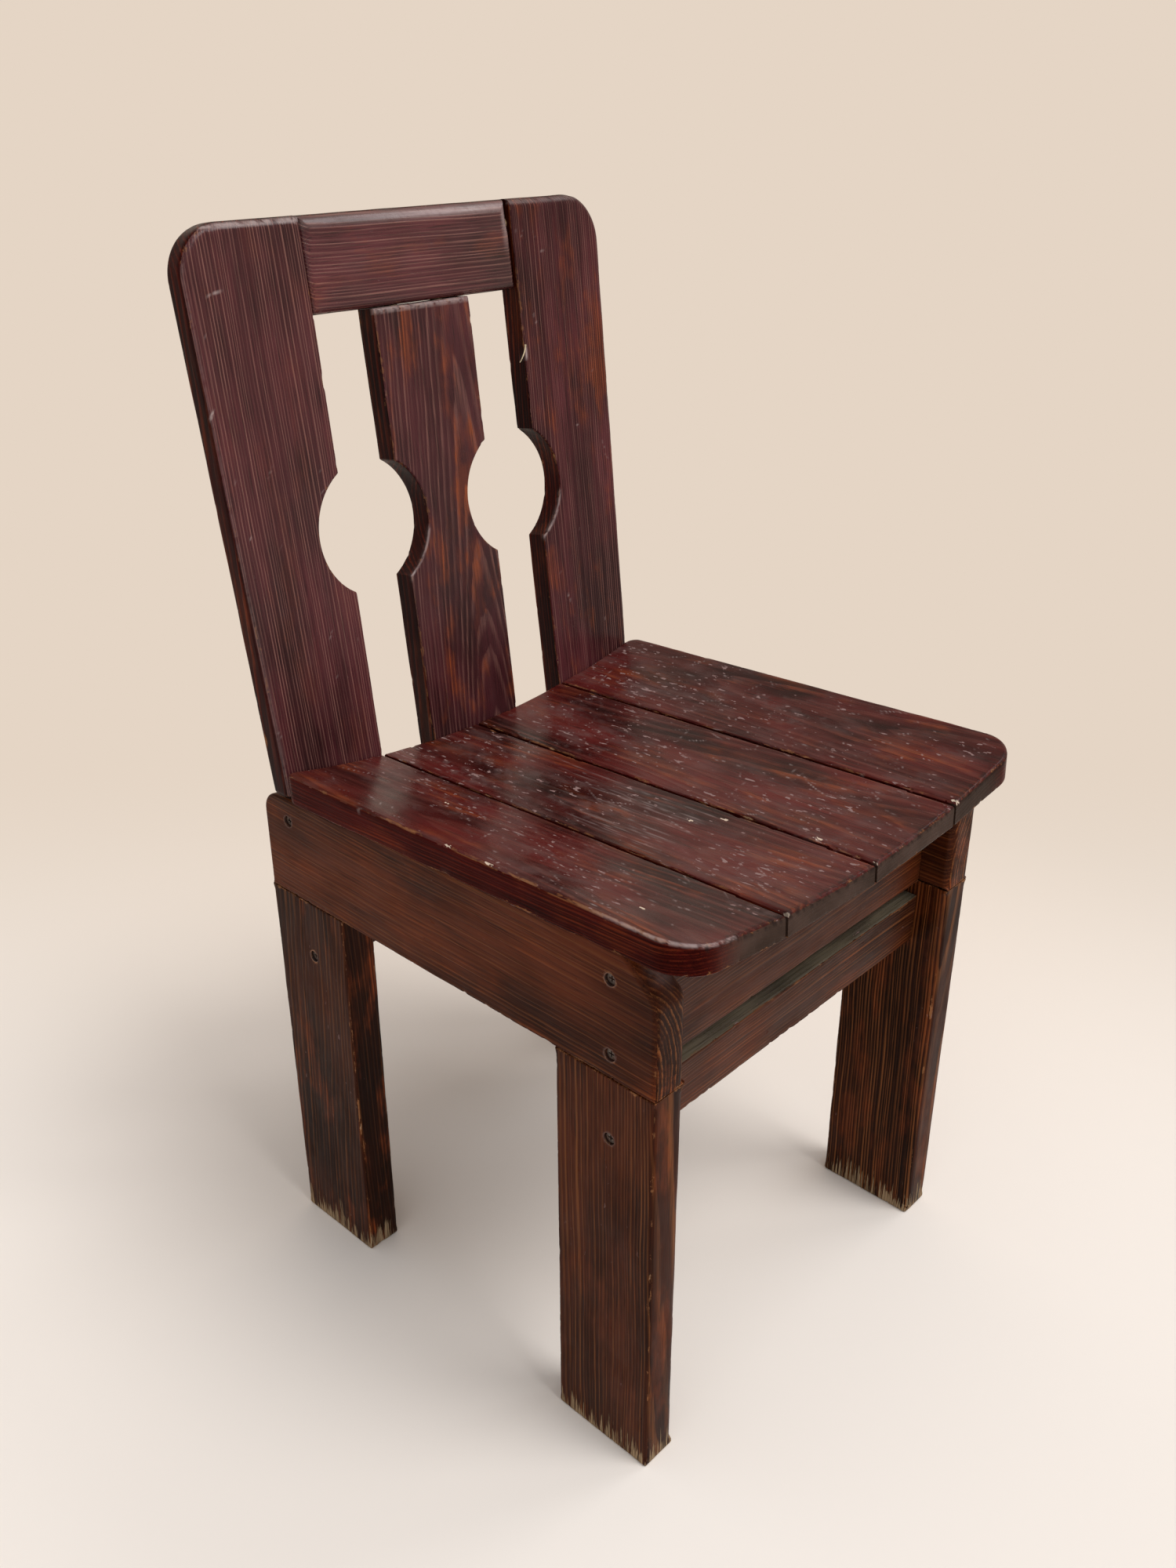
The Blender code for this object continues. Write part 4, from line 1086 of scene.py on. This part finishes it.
    def bare_foot(self, colour, fibre, tint):
        """Fibres worn bare at the foot, up to a frayed line. Hands back the colour and the bare part."""
        net = self.net
        frayed = net.between(self.grained(420, 14, 4.0, 0.7), 0.36, 0.72)
        worn = self.grained(34, 34, 2.0)
        height = net.scaled(frayed, 0.030, net.scaled(worn, 0.040, -0.022))
        bare = net.between(net.math("SUBTRACT", height, self.places[2]), -0.0015, 0.0040)
        fray = net.mix(net.between(fibre, 0.35, 0.6), dimmed(tint.bare, 0.30), dimmed(tint.bare, 0.80))
        return net.mix(net.times(bare, 0.9), colour, fray), bare


def stained_pine(name, timber):
    """Stained, varnished pine: rings, stain, worn arrises, scuffs, scratches and painted highlights, chips, bare feet,
    and grime with painted shade.
    """
    pine, tint = Pine(name, timber), colours()
    net = pine.net
    hard = pine.rings()
    fibre = pine.grained(1300, 24, 2.0, 0.6)
    colour = pine.stain(hard, fibre, tint)
    colour, nicks = pine.arrises(colour, fibre, tint)
    colour, dusty = pine.scuffs(colour, tint)
    scratch = net.attribute("scratch")
    # Scratches and painted highlights share one pale colour.
    colour = net.mix(net.times(scratch, 0.85), colour, (0.46, 0.36, 0.34))
    chip = net.between(net.attribute("chip"), 0.30, 0.62)
    colour = net.mix(chip, colour, (0.60, 0.47, 0.36))
    dull = net.math("MAXIMUM", dusty, net.math("MAXIMUM", chip, nicks))
    if timber.bare_foot:
        colour, bare = pine.bare_foot(colour, fibre, tint)
        dull = net.math("MAXIMUM", dull, bare)
    # Grime and painted shade share one near-black colour.
    colour = net.mix(net.times(net.attribute("grime"), 0.80), colour, (0.014, 0.008, 0.007))

    haze = pine.grained(60, 20, 4.0, 0.65)
    rough = net.scaled(net.between(haze, 0.35, 0.70), 0.18, timber.gloss)
    rough = net.scaled(dull, 0.35, rough, clamp=True)
    net.shader.inputs["Specular IOR Level"].default_value = timber.shine
    relief = net.scaled(hard, 0.9, net.times(fibre, 0.6))
    for height, share in ((haze, 0.5), (scratch, -1.2), (dull, -0.8)):
        relief = net.scaled(height, share, relief)
    return net.finish(colour, rough, relief, 0.4, 0.0003)


def dark_steel():
    """Old screw steel: dark, browned in patches."""
    net = Net("dark_screw_steel_finish")
    place = net.node("ShaderNodeTexCoord").outputs["Object"]
    rust = net.between(net.noise(place, 260, 5.0, 0.7), 0.42, 0.62)
    net.put(net.shader.inputs["Metallic"], net.between(rust, 0, 1, 0.9, 0.2))
    colour = net.mix(rust, (0.120, 0.098, 0.085), (0.075, 0.038, 0.024))
    return net.finish(colour, net.between(rust, 0, 1, 0.38, 0.75), net.noise(place, 900, 4.0))


def plain_beech():
    """Dowel wood: pale beech with short dark flecks."""
    net = Net("beech_dowel_finish")
    place = net.node("ShaderNodeTexCoord").outputs["Object"]
    fleck = net.noise(net.stretched(place, (900, 900, 120)), 1.0, 4.0)
    colour = net.mix(net.between(fleck, 0.35, 0.65), (0.42, 0.27, 0.14), (0.60, 0.42, 0.25))
    return net.finish(colour, net.between(fleck, 0.3, 0.7, 0.55, 0.7))


class KEYHOLE_OT_back(bpy.types.Operator):
    """Build the leaning back: two stiles, the waisted splat and the pillowed top rail"""

    bl_idname = "keyhole_chair.back"
    bl_label = "Back"

    def execute(self, context):
        lean = sizes().lean
        rearward = (0, math.cos(lean), -math.sin(lean))
        heads = [box_middle(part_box(f"back_board_screw_{k}")) for k in range(1, 7)]
        heads = Leaning.to_board(np.array([tuple(h) for h in heads]))
        heads[:, 1] = BOARD_THICKNESS
        heads = Leaning.to_chair(heads)
        for side, seed in ((-1, 11), (1, 12)):
            self.add_stile(side, seed, [h for h in heads if h[0] * side > 0.1], rearward)
        self.add_splat([h for h in heads if abs(h[0]) < 0.1], rearward)
        self.add_top_rail(rearward)
        self.add_splinter()
        return {"FINISHED"}

    def add_stile(self, side, seed, heads, rearward):
        """A stile: the left one has paler grain and a torn edge, the right one warmer grain and a tear in its slot."""
        board = stile_board(side).bore(heads, rearward)
        lines = random_lines(seed, 12, (side * 0.105, -0.02), (side * 0.2, 0.39), (0.005, 0.018), 0.0003, 1.4, 0.8)
        board.scratches(lines, 0.5, 0.002)
        if side < 0:
            board.scratches([(-0.190, 0.352, -0.176, 0.355, 0.0004, 0.7), (-0.203, 0.271, -0.200, 0.279, 0.0006, 1)])
        else:
            board.scratches([(0.1052, 0.2860, 0.1042, 0.2730, 0.0009, 1.0)], 1.0, 0.006)
        board.age(seed)
        across, depth, along = board.local.T
        outer = np.abs(across) > stile_half(along) - 0.004
        board.rub(outer & (depth > 0.012) & (along > 0), seed, -0.6, 0.6)
        # Painted highlight along the top edge, strong on the left stile and faint on the right.
        board.glint(self.sheen(along - sizes().back_height, depth) * (0.75 if side < 0 else 0.2), seed)
        if side < 0:
            # A faint painted highlight along the left stile's outer front arris.
            board.glint(0.10 * outer * smooth(0.0034, 0.0016, board.edge) * (depth < 0.004), seed + 3)
            board.rub((np.abs(across) > stile_half(along) - 0.010) & (depth < 0.006) & (along > 0), 17, 0.6, 1.7)
            torn = np.exp(-(((board.local - (-0.1985, 0.0165, 0.030)) / (0.02, 0.0024, 0.0080)) ** 2).sum(1))
            board.mark("nicks", 0.9 * torn)
            cut = dict(lines=0.85, warm=0.20, shine=0.22)
        else:
            # A painted highlight on the lower lip of the right stile's keyhole.
            board.glint(self.keyhole_lip(board), seed)
            cut = dict(lines=0.62, warm=0.78, shine=0.11)
        board.build(Timber(
            seed, "back", (side * 0.36, 0.13), taper=0.010, rings=470, band=0.36, rubbed=0.6, scuffs=0.08,
            gloss=0.22, waver=0.008, **cut,
        ), self.rim(seed), rearward)

    def add_splat(self, heads, rearward):
        """The splat, sawn beside its tree's heart, with the light on its upper edge and its left keyhole."""
        board = splat_board().bore(heads, rearward).age(21)
        across, depth, along = board.local.T
        # Painted highlights along the head's arris and on the left keyhole's lower lip.
        board.glint(self.sheen(along - TOP_RAIL_UNDERSIDE, depth) * 0.45, 22)
        board.glint(self.keyhole_lip(board) * (across < 0), 23)
        board.build(Timber(
            21, "back", (0.026, 0.034), taper=0.050, rings=310, band=0.42, lines=0.55, tone=0.80, warm=0.95,
            rubbed=0.6, scuffs=0.10, gloss=0.22, shine=0.20, waver=0.017,
        ), self.rim(21), rearward)

    def add_top_rail(self, rearward):
        """The top rail, with a painted highlight along its softened edge, dirt in its joints and painted shade in its
        lower right corner.
        """
        board = top_rail_board().age(31)
        across, depth, along = board.local.T
        # A painted highlight along the softened top edge, stronger to the right, that turns down the right end.
        over = np.maximum(along - sizes().back_height, (np.abs(across) - STILE_INNER) * (across > 0) - (across <= 0))
        band = smooth(-0.0115, -0.0065, over) * smooth(-0.0010, -0.0045, over) * (depth < 0.008)
        board.glint(0.50 * band * (0.35 + 0.65 * smooth(-0.08, 0.06, across)) * smooth(0.352, 0.386, along), 31, 0.3)
        # Painted shade in the rail's lower right corner.
        corner = smooth(0.055, 0.098, across) * smooth(0.372, 0.350, along)
        board.mark("grime", 0.55 * corner * (depth < 0.008))
        board.mark("grime", 0.75 * smooth(0.0028, 0.0008, STILE_INNER - np.abs(across)))
        board.build(Timber(
            31, "back", (0.10, 0.20), grain="x", taper=0.006, rings=430, band=0.40, lines=0.85, tone=1.15,
            warm=0.45, rubbed=0.4, scuffs=0.10, gloss=0.20, shine=0.30, waver=0.010,
        ), self.rim(31), rearward)

    @staticmethod
    def add_splinter():
        """A sliver torn from the right stile's slot edge: it narrows along a bent path and hangs into the slot."""
        share = np.linspace(1, 0, 12)
        middle = np.stack([0.1048 - 0.0085 * share ** 1.7, 0.2862 - 0.0135 * share], axis=1)
        half = np.stack([0.00025 + 0.0006 * (1 - share), 0 * share], axis=1)
        left, right = middle - half, middle + half
        sides = ([left[0], right[0]], right, [left[-1], right[-1]], left)
        points, faces = board_surface(sides, constant(0.0006), constant(0.0001), constant(0.0001), 2, 1)
        points[:, 1] -= 0.0004
        Board("stile_splinter", "right_stile", "stained_pine_back", points, faces, Leaning, constant_edge).build(
            Timber(97, "ledge", (0.2, 0.1), tone=3.4, lines=0.3, warm=0.0, rubbed=0.0, scuffs=0.0, shine=0.1)
        )

    @staticmethod
    def sheen(over, depth):
        """A thin band, from the top edge down 5 mm of the front face, where a highlight is painted."""
        return smooth(-0.0055, -0.0030, over) * smooth(0.0045, 0.0030, depth)

    @staticmethod
    def keyhole_lip(board):
        """The lower half of the keyhole's front arris, where a highlight is painted."""
        across, depth, along = board.local.T
        return 0.5 * smooth(0.0020, 0.0008, board.edge) * (depth < 0.003) * smooth(0.022, 0.016, np.abs(along - 0.141))

    @staticmethod
    def rim(seed):
        """The boards' side faces, stained nearly black as painted shade, with some red-orange streaks."""
        return Timber(
            seed + 5, "rim", (0.3, -0.2), taper=0.02, rings=300, band=0.4, lines=0.50, tone=0.42, warm=0.30,
            rubbed=0.8, scuffs=0.0, gloss=0.30, shine=0.05,
        )


# Dusty patches on the seat, as (across, along, half width, half length, strength)
DUST = (
    (-0.133, 0.310, 0.020, 0.030, 0.75),
    (-0.138, 0.236, 0.012, 0.026, 1.00),
    (-0.155, 0.160, 0.020, 0.040, 0.45),
    (-0.121, 0.200, 0.010, 0.060, 0.55),
    (-0.150, 0.090, 0.007, 0.012, 1.00),
    (-0.117, -0.012, 0.010, 0.012, 0.90),
    (-0.075, 0.285, 0.020, 0.040, 0.95),
    (-0.055, 0.205, 0.030, 0.060, 0.75),
    (-0.040, 0.300, 0.020, 0.040, 0.70),
    (-0.028, 0.110, 0.012, 0.050, 0.55),
    (0.030, 0.290, 0.020, 0.060, 0.80),
    (0.045, 0.222, 0.012, 0.022, 0.80),
    (0.060, 0.330, 0.030, 0.030, 0.70),
    (0.010, 0.030, 0.012, 0.030, 0.90),
    (0.070, 0.060, 0.014, 0.030, 0.75),
    (0.095, 0.030, 0.012, 0.020, 0.60),
    (0.128, 0.300, 0.018, 0.045, 0.95),
    (0.150, 0.180, 0.020, 0.060, 0.70),
    (0.160, 0.070, 0.020, 0.040, 0.45),
    (0.125, 0.100, 0.014, 0.080, 0.45),
)

# White chips on the seat, as (across, depth, along, radius, hollow)
SEAT_CHIPS = (
    (-0.0122, 0.0, 0.0929, 0.0026, 0.0004),
    (-0.1712, 0.0, 0.0345, 0.0022, 0.0004),
    (-0.0303, 0.0, 0.1114, 0.0020, 0.0003),
    (0.1090, 0.0, -0.0277, 0.0032, 0.0008),
    (-0.1030, 0.0, -0.0275, 0.0036, 0.0008),
    (0.0015, 0.0, -0.0278, 0.0026, 0.0007),
    (-0.1995, 0.0, 0.1450, 0.0026, 0.0007),
    (-0.2000, 0.0, 0.1850, 0.0022, 0.0006),
    (0.1606, 0.0, 0.0175, 0.0014, 0.0003),
    (0.0060, 0.0, 0.0220, 0.0022, 0.0004),
    (-0.1390, 0.0, 0.2560, 0.0018, 0.0003),
)


class KEYHOLE_OT_seat(bpy.types.Operator):
    """Build the four hollowed seat planks"""

    bl_idname = "keyhole_chair.seat"
    bl_label = "Seat"

    def execute(self, context):
        seam = SEAM_WIDTH / 2
        spans = (
            (-SEAT_EDGE, -SEAM_OFFSET - seam),
            (-SEAM_OFFSET + seam, -seam),
            (seam, SEAM_OFFSET - seam),
            (SEAM_OFFSET + seam, SEAT_EDGE),
        )
        for number, (low, high) in enumerate(spans, start=1):
            board = seat_board(number, low, high)
            lines = random_lines(40 + number, 60, (low, -0.02), (high, 0.37), (0.003, 0.020), 0.00035, 1.57, 0.35)
            lines += random_lines(45 + number, 14, (low, -0.02), (high, 0.37), (0.008, 0.040), 0.00028)
            board.scratches(lines, 0.6)
            if number == 2:
                rubs = random_lines(60, 46, (-0.095, 0.08), (-0.012, 0.17), (0.030, 0.140), 0.0005, 1.57, 0.03)
                board.scratches(rubs, 0.34)
            board.patches("dust", [(*p[:4], 0.85 * p[4]) for p in DUST if low < p[0] < high])
            board.age(40 + number, nick=0.0009)
            across, depth, along = board.local.T
            if number == 1:
                worn = (across < -0.195) & (depth < 0.004) & (along > -0.01)
                board.rub(worn & (along < 0.25), 5, -0.9, 0.3).rub(worn & (along < 0.18), 6, -2.2, -0.6)
                # A painted highlight on the front-left corner's arris.
                arris = (across < -0.155) * smooth(0.0032, 0.0012, board.edge) * (depth < 0.003)
                board.glint(0.60 * arris * smooth(0.070, 0.010, along), 48)
            ragged = smooth(-0.3, 0.7, waves(board.local, 0.006, number) + 0.7 * waves(board.local, 0.002, number + 9))
            board.mark("grime", 0.8 * ragged * smooth(-0.0225, -0.0255, along) * (depth < 0.0035))
            board.chip([c for c in SEAT_CHIPS if low - 0.003 < c[0] < high + 0.003])
            middle = (low + high) / 2
            board.build(Timber(
                50 + number, "seat", (middle + 0.012 * (number - 2.5), 0.055), taper=0.045, rings=230, band=0.5,
                lines=0.55, warm=0.52, rubbed=0.7, scuffs=0.56, gloss=0.20, shine=0.10, swing=1.35,
            ), Timber(
                55 + number, "rim", (middle, 0.20), taper=0.01, rings=420, band=0.45, lines=0.50, warm=0.25,
                rubbed=0.8, scuffs=0.0, gloss=0.20, shine=0.02, waver=0.012, sawn_front=True,
            ))
        return {"FINISHED"}


class KEYHOLE_OT_side_frames(bpy.types.Operator):
    """Build the aprons and the board legs, with sinkings for the screw heads"""

    bl_idname = "keyhole_chair.side_frames"
    bl_label = "Side frames"

    def execute(self, context):
        for side in (-1, 1):
            name = side_name(side)
            heads = [box_middle(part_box(f"{name}_side_screw_{k}")) for k in range(1, 6)]
            heads = [(side * SIDE_OUTER, h.y, h.z) for h in heads]
            self.add_apron(side, 60 + side, [h for h in heads if h[2] > APRON_UNDERSIDE])
            low = [h for h in heads if h[2] < APRON_UNDERSIDE]
            self.add_leg(side, "front", 70 + side, [h for h in low if h[1] < 0])
            self.add_leg(side, "back", 80 + side, [h for h in low if h[1] >= 0])
        return {"FINISHED"}

    def add_apron(self, side, seed, heads):
        """An apron, with the light on the rounded corner of its chamfer."""
        board = apron_board(side).bore(heads, (side, 0, 0)).age(seed)
        # A painted highlight on the rounded corner of the chamfer.
        corner = (0.012, 0.019, board.local[:, 2].max() - 0.013)
        blob = np.exp(-(((board.local - corner) / (0.012, 0.009, 0.009)) ** 2).sum(1))
        board.glint(0.45 * blob, seed + 5, 0.5)
        board.build(Timber(
            seed, "frame", (0.52, 0.10), grain="x", taper=0.012, rings=330, band=0.45, lines=0.42, tone=1.25,
            warm=0.34, rubbed=0.5, scuffs=0.08, gloss=0.32, shine=0.05,
        ), self.rim(seed, "x", tone=0.75), (1, 0, 0))

    def add_leg(self, side, end, seed, heads):
        """A leg: the back ones are sawn beside the tree's heart and the front right one is darkest."""
        board = leg_board(side, end).bore(heads, (side, 0, 0)).age(seed)
        if end == "back":
            heart, cut = (0.275, 0.012), dict(taper=0.05, rings=200, lines=0.48, warm=0.55, tone=0.52)
        elif side < 0:
            heart, cut = (0.30, 0.10), dict(taper=0.012, rings=330, lines=0.75, warm=0.30, tone=0.95)
        else:
            heart, cut = (0.36, 0.02), dict(taper=0.012, rings=330, lines=1.0, warm=0.45, tone=0.42)
        board.build(Timber(
            seed, "frame", heart, band=0.42 if side < 0 else 0.52, rubbed=1.0, scuffs=0.12, bare_foot=True,
            gloss=0.32, shine=0.05, **cut,
        ), self.rim(seed, "z", end == "back"), (1, 0, 0))

    @staticmethod
    def rim(seed, grain, flames=False, tone=0.50):
        """The narrow edges: darker, with orange lines, or with FLAMES of warm wood in near black."""
        return Timber(
            seed + 5, "frame", (0.35, -0.1), grain=grain, taper=0.03, rings=300, band=0.42,
            lines=0.25 if flames else 1.0, tone=0.35 if flames else tone, warm=1.0 if flames else 0.75,
            rubbed=1.0, scuffs=0.08, bare_foot=grain == "z", gloss=0.30, shine=0.05,
        )


class KEYHOLE_OT_rails(bpy.types.Operator):
    """Build the four cross rails under the seat"""

    bl_idname = "keyhole_chair.rails"
    bl_label = "Rails"

    def execute(self, context):
        fall = math.tan(sizes().fall)

        def under_seat(x):
            y = RAIL_INSET + RAIL_THICKNESS
            return sizes().seat_height - y * fall + seat_underside(x) - 2 * GAP

        rails = (
            ("front_upper_rail", RAIL_INSET, APRON_UNDERSIDE, under_seat, 91),
            ("front_lower_rail", RAIL_INSET, LOWER_RAIL_UNDERSIDE, lambda x: np.full(len(x), LOWER_RAIL_TOP), 92),
            (
                "back_lower_rail", FRAME_DEPTH - BACK_RAIL_INSET - RAIL_THICKNESS, LOWER_RAIL_UNDERSIDE,
                lambda x: np.full(len(x), LOWER_RAIL_TOP), 93,
            ),
        )
        for name, inset, low, high_of, seed in rails:
            rail_board(name, inset, low, high_of).age(seed).build(Timber(
                seed, "frame", (0.45 + low, 0.12), grain="x", taper=0.012, rings=330, band=0.42, lines=0.60,
                warm=0.30, rubbed=0.6, scuffs=0.12, gloss=0.30, shine=0.10,
            # The rails' top, bottom and end faces: grey dust with a painted reflection of the sky.
            ), Timber(
                seed + 5, "ledge", (0.45, -0.2), grain="x", rings=200, band=0.5, lines=0.4, warm=0.05, rubbed=0.6,
                scuffs=0.3, gloss=0.18, shine=0.25,
            ), (0, 1, 0))
        leaning_rail_board().age(94).build(Timber(
            94, "frame", (0.3, 0.2), grain="x", lines=0.4, gloss=0.38, shine=0.12
        ))
        return {"FINISHED"}


class KEYHOLE_OT_fasteners(bpy.types.Operator):
    """Finish the screws and the hidden dowels, which keep their own shapes"""

    bl_idname = "keyhole_chair.fasteners"
    bl_label = "Screws and dowels"

    def execute(self, context):
        steel, beech = dark_steel(), plain_beech()
        for name, piece in frame["nodes"].items():
            finish = steel if "screw" in name else beech if "dowel" in name else None
            if finish:
                for slot in piece.material_slots:
                    slot.material = finish
        return {"FINISHED"}


# The photograph's camera, solved from the chair's own edges. Its picture is as high as PICTURE_PIXELS.
PICTURE_PIXELS = 2000
FOCAL_PIXELS = 1799
CAMERA_PLACE = (-0.7468, -0.4578, 0.9284)
CAMERA_FORWARD = (0.65287, 0.61173, -0.44672)
CAMERA_RIGHT = (0.6833, -0.73013, -0.0012)
VIEW_HEADING = 46.86


class KEYHOLE_OT_studio(bpy.types.Operator):
    """Build the floor, the backdrop, the lights and the camera"""

    bl_idname = "keyhole_chair.studio"
    bl_label = "Studio"

    def execute(self, context):
        scene = context.scene
        scene.view_settings.view_transform = "Standard"
        self.add_floor()
        self.add_world(scene)
        self.add_lamps()
        self.add_camera(scene)
        return {"FINISHED"}

    def add_floor(self):
        """A sheet that runs flat under the chair and bends up far behind it: a quarter circle carried across."""
        reach, bend = 4.0, 2.5
        across = np.linspace(-12, 12, 40)
        turns = np.linspace(0, np.pi / 2, 24)
        along = np.concatenate([np.linspace(-8, reach, 30), reach + bend * np.sin(turns[1:]), [reach + bend]])
        up = np.concatenate([np.zeros(30), bend * (1 - np.cos(turns[1:])), [12.0]])
        heading = math.radians(VIEW_HEADING)
        x = across[None, :] * math.cos(heading) + along[:, None] * math.sin(heading)
        y = -across[None, :] * math.sin(heading) + along[:, None] * math.cos(heading)
        z = np.repeat(up[:, None], len(across), axis=1)
        points = np.stack([x, y, z], axis=2).reshape(-1, 3)
        index = np.arange(len(points)).reshape(len(along), len(across))
        mesh = bpy.data.meshes.new("studio_floor")
        mesh.from_pydata(points.tolist(), [], quads(index).tolist())
        mesh.shade_smooth()
        mesh.materials.append(self.floor_finish(heading))
        floor = linked("studio_floor", mesh)

    def floor_finish(self, heading):
        """Pale matt paper near the chair. Far off, a camera sees the backdrop's own colour, evenly lit."""
        net = Net("studio_floor_finish")
        place = net.node("ShaderNodeTexCoord").outputs["Object"]
        px, py, _ = net.parts(place)
        away = net.math("ADD", net.times(px, math.sin(heading)), net.times(py, math.cos(heading)))
        share = net.between(away, -0.15, 0.95)
        colour = net.mix(share, colours().floor, colours().backdrop)
        net.put(net.shader.inputs["Base Color"], colour)
        net.shader.inputs["Roughness"].default_value = 0.9
        net.shader.inputs["Specular IOR Level"].default_value = 0.1
        round_chair = net.math("SQRT", net.math("ADD", net.times(px, px), net.times(py, py)))
        far = net.times(net.between(round_chair, 0.42, 0.98), net.seen())
        glow = net.node("ShaderNodeEmission", {"Color": net.mix(share, (0.896, 0.823, 0.753), colours().backdrop)})
        net.show(far, net.shader, glow, "Material Output")
        return net.owner

    def add_world(self, scene):
        """An even, faint sky that lights the chair, and the backdrop's colour where the sheet ends."""
        net = Net("studio_world", bpy.data.worlds.new("studio_world"))
        sky = net.tree.nodes["Background"]
        sky.inputs["Color"].default_value = (0.96, 0.975, 1.0, 1)
        sky.inputs["Strength"].default_value = 0.50
        pale = net.node("ShaderNodeBackground", {"Color": (*colours().backdrop, 1)})
        net.show(net.seen(), sky, pale, "World Output")
        scene.world = net.owner

    def add_lamps(self):
        sun = bpy.data.lights.new("key_sun", "SUN")
        sun.angle = math.radians(32)
        sun.energy = 1.80
        self.hang(sun, (0.35, -1.15, 2.3))
        lamps = (
            ("glint_lamp", (3.4, -1.1, 4.7), 1.9, 46.0),
            ("fill_lamp", (-2.2, -1.0, 1.8), 2.4, 6.0),
        )
        for name, place, size, power in lamps:
            lamp = bpy.data.lights.new(name, "AREA")
            lamp.size = size
            lamp.energy = power
            lamp.color = (0.95, 0.97, 1.0)
            self.hang(lamp, place)

    def hang(self, lamp, place):
        holder = linked(lamp.name, lamp)
        holder.location = place
        holder.rotation_euler = (Vector((0, 0, 0.4)) - Vector(place)).to_track_quat("-Z", "Y").to_euler()

    def add_camera(self, scene):
        """The photograph's camera."""
        camera = bpy.data.cameras.new("photo_camera")
        camera.sensor_width = 36
        camera.lens = camera.sensor_width * FOCAL_PIXELS / PICTURE_PIXELS
        camera.clip_start = 0.01
        holder = linked("photo_camera", camera)
        forward = Vector(CAMERA_FORWARD).normalized()
        right = Vector(CAMERA_RIGHT).normalized()
        up = right.cross(forward).normalized()
        turn = Matrix((right, up, -forward)).transposed()
        place = Matrix.Translation(Vector(CAMERA_PLACE) - Vector((0, MIDDLE_Y, 0)))
        holder.matrix_world = place @ turn.to_4x4()
        scene.camera = holder


STEPS = (
    KEYHOLE_OT_back,
    KEYHOLE_OT_seat,
    KEYHOLE_OT_side_frames,
    KEYHOLE_OT_rails,
    KEYHOLE_OT_fasteners,
    KEYHOLE_OT_studio,
)


class KEYHOLE_PT_panel(bpy.types.Panel):
    """Lists the steps that build the chair"""

    bl_idname = "KEYHOLE_PT_panel"
    bl_label = "Keyhole Chair"
    bl_space_type = "VIEW_3D"
    bl_region_type = "UI"
    bl_category = "Keyhole Chair"

    def draw(self, context):
        column = self.layout.column()
        for key in KEYHOLE_PG_sizes.__annotations__:
            column.prop(context.scene.keyhole_chair_sizes, key)
        for key in KEYHOLE_PG_colours.__annotations__:
            column.prop(context.scene.keyhole_chair_colours, key)
        for step in STEPS:
            column.operator(step.bl_idname)


CLASSES = (KEYHOLE_PG_sizes, KEYHOLE_PG_colours, *STEPS, KEYHOLE_PT_panel)


def register():
    for item in CLASSES:
        bpy.utils.register_class(item)
    bpy.types.Scene.keyhole_chair_sizes = bpy.props.PointerProperty(type=KEYHOLE_PG_sizes)
    bpy.types.Scene.keyhole_chair_colours = bpy.props.PointerProperty(type=KEYHOLE_PG_colours)


def unregister():
    del bpy.types.Scene.keyhole_chair_colours
    del bpy.types.Scene.keyhole_chair_sizes
    for item in reversed(CLASSES):
        bpy.utils.unregister_class(item)


def main():
    register()
    bpy.ops.keyhole_chair.back()
    bpy.ops.keyhole_chair.seat()
    bpy.ops.keyhole_chair.side_frames()
    bpy.ops.keyhole_chair.rails()
    bpy.ops.keyhole_chair.fasteners()
    bpy.ops.keyhole_chair.studio()


if __name__ == "__main__":
    main()
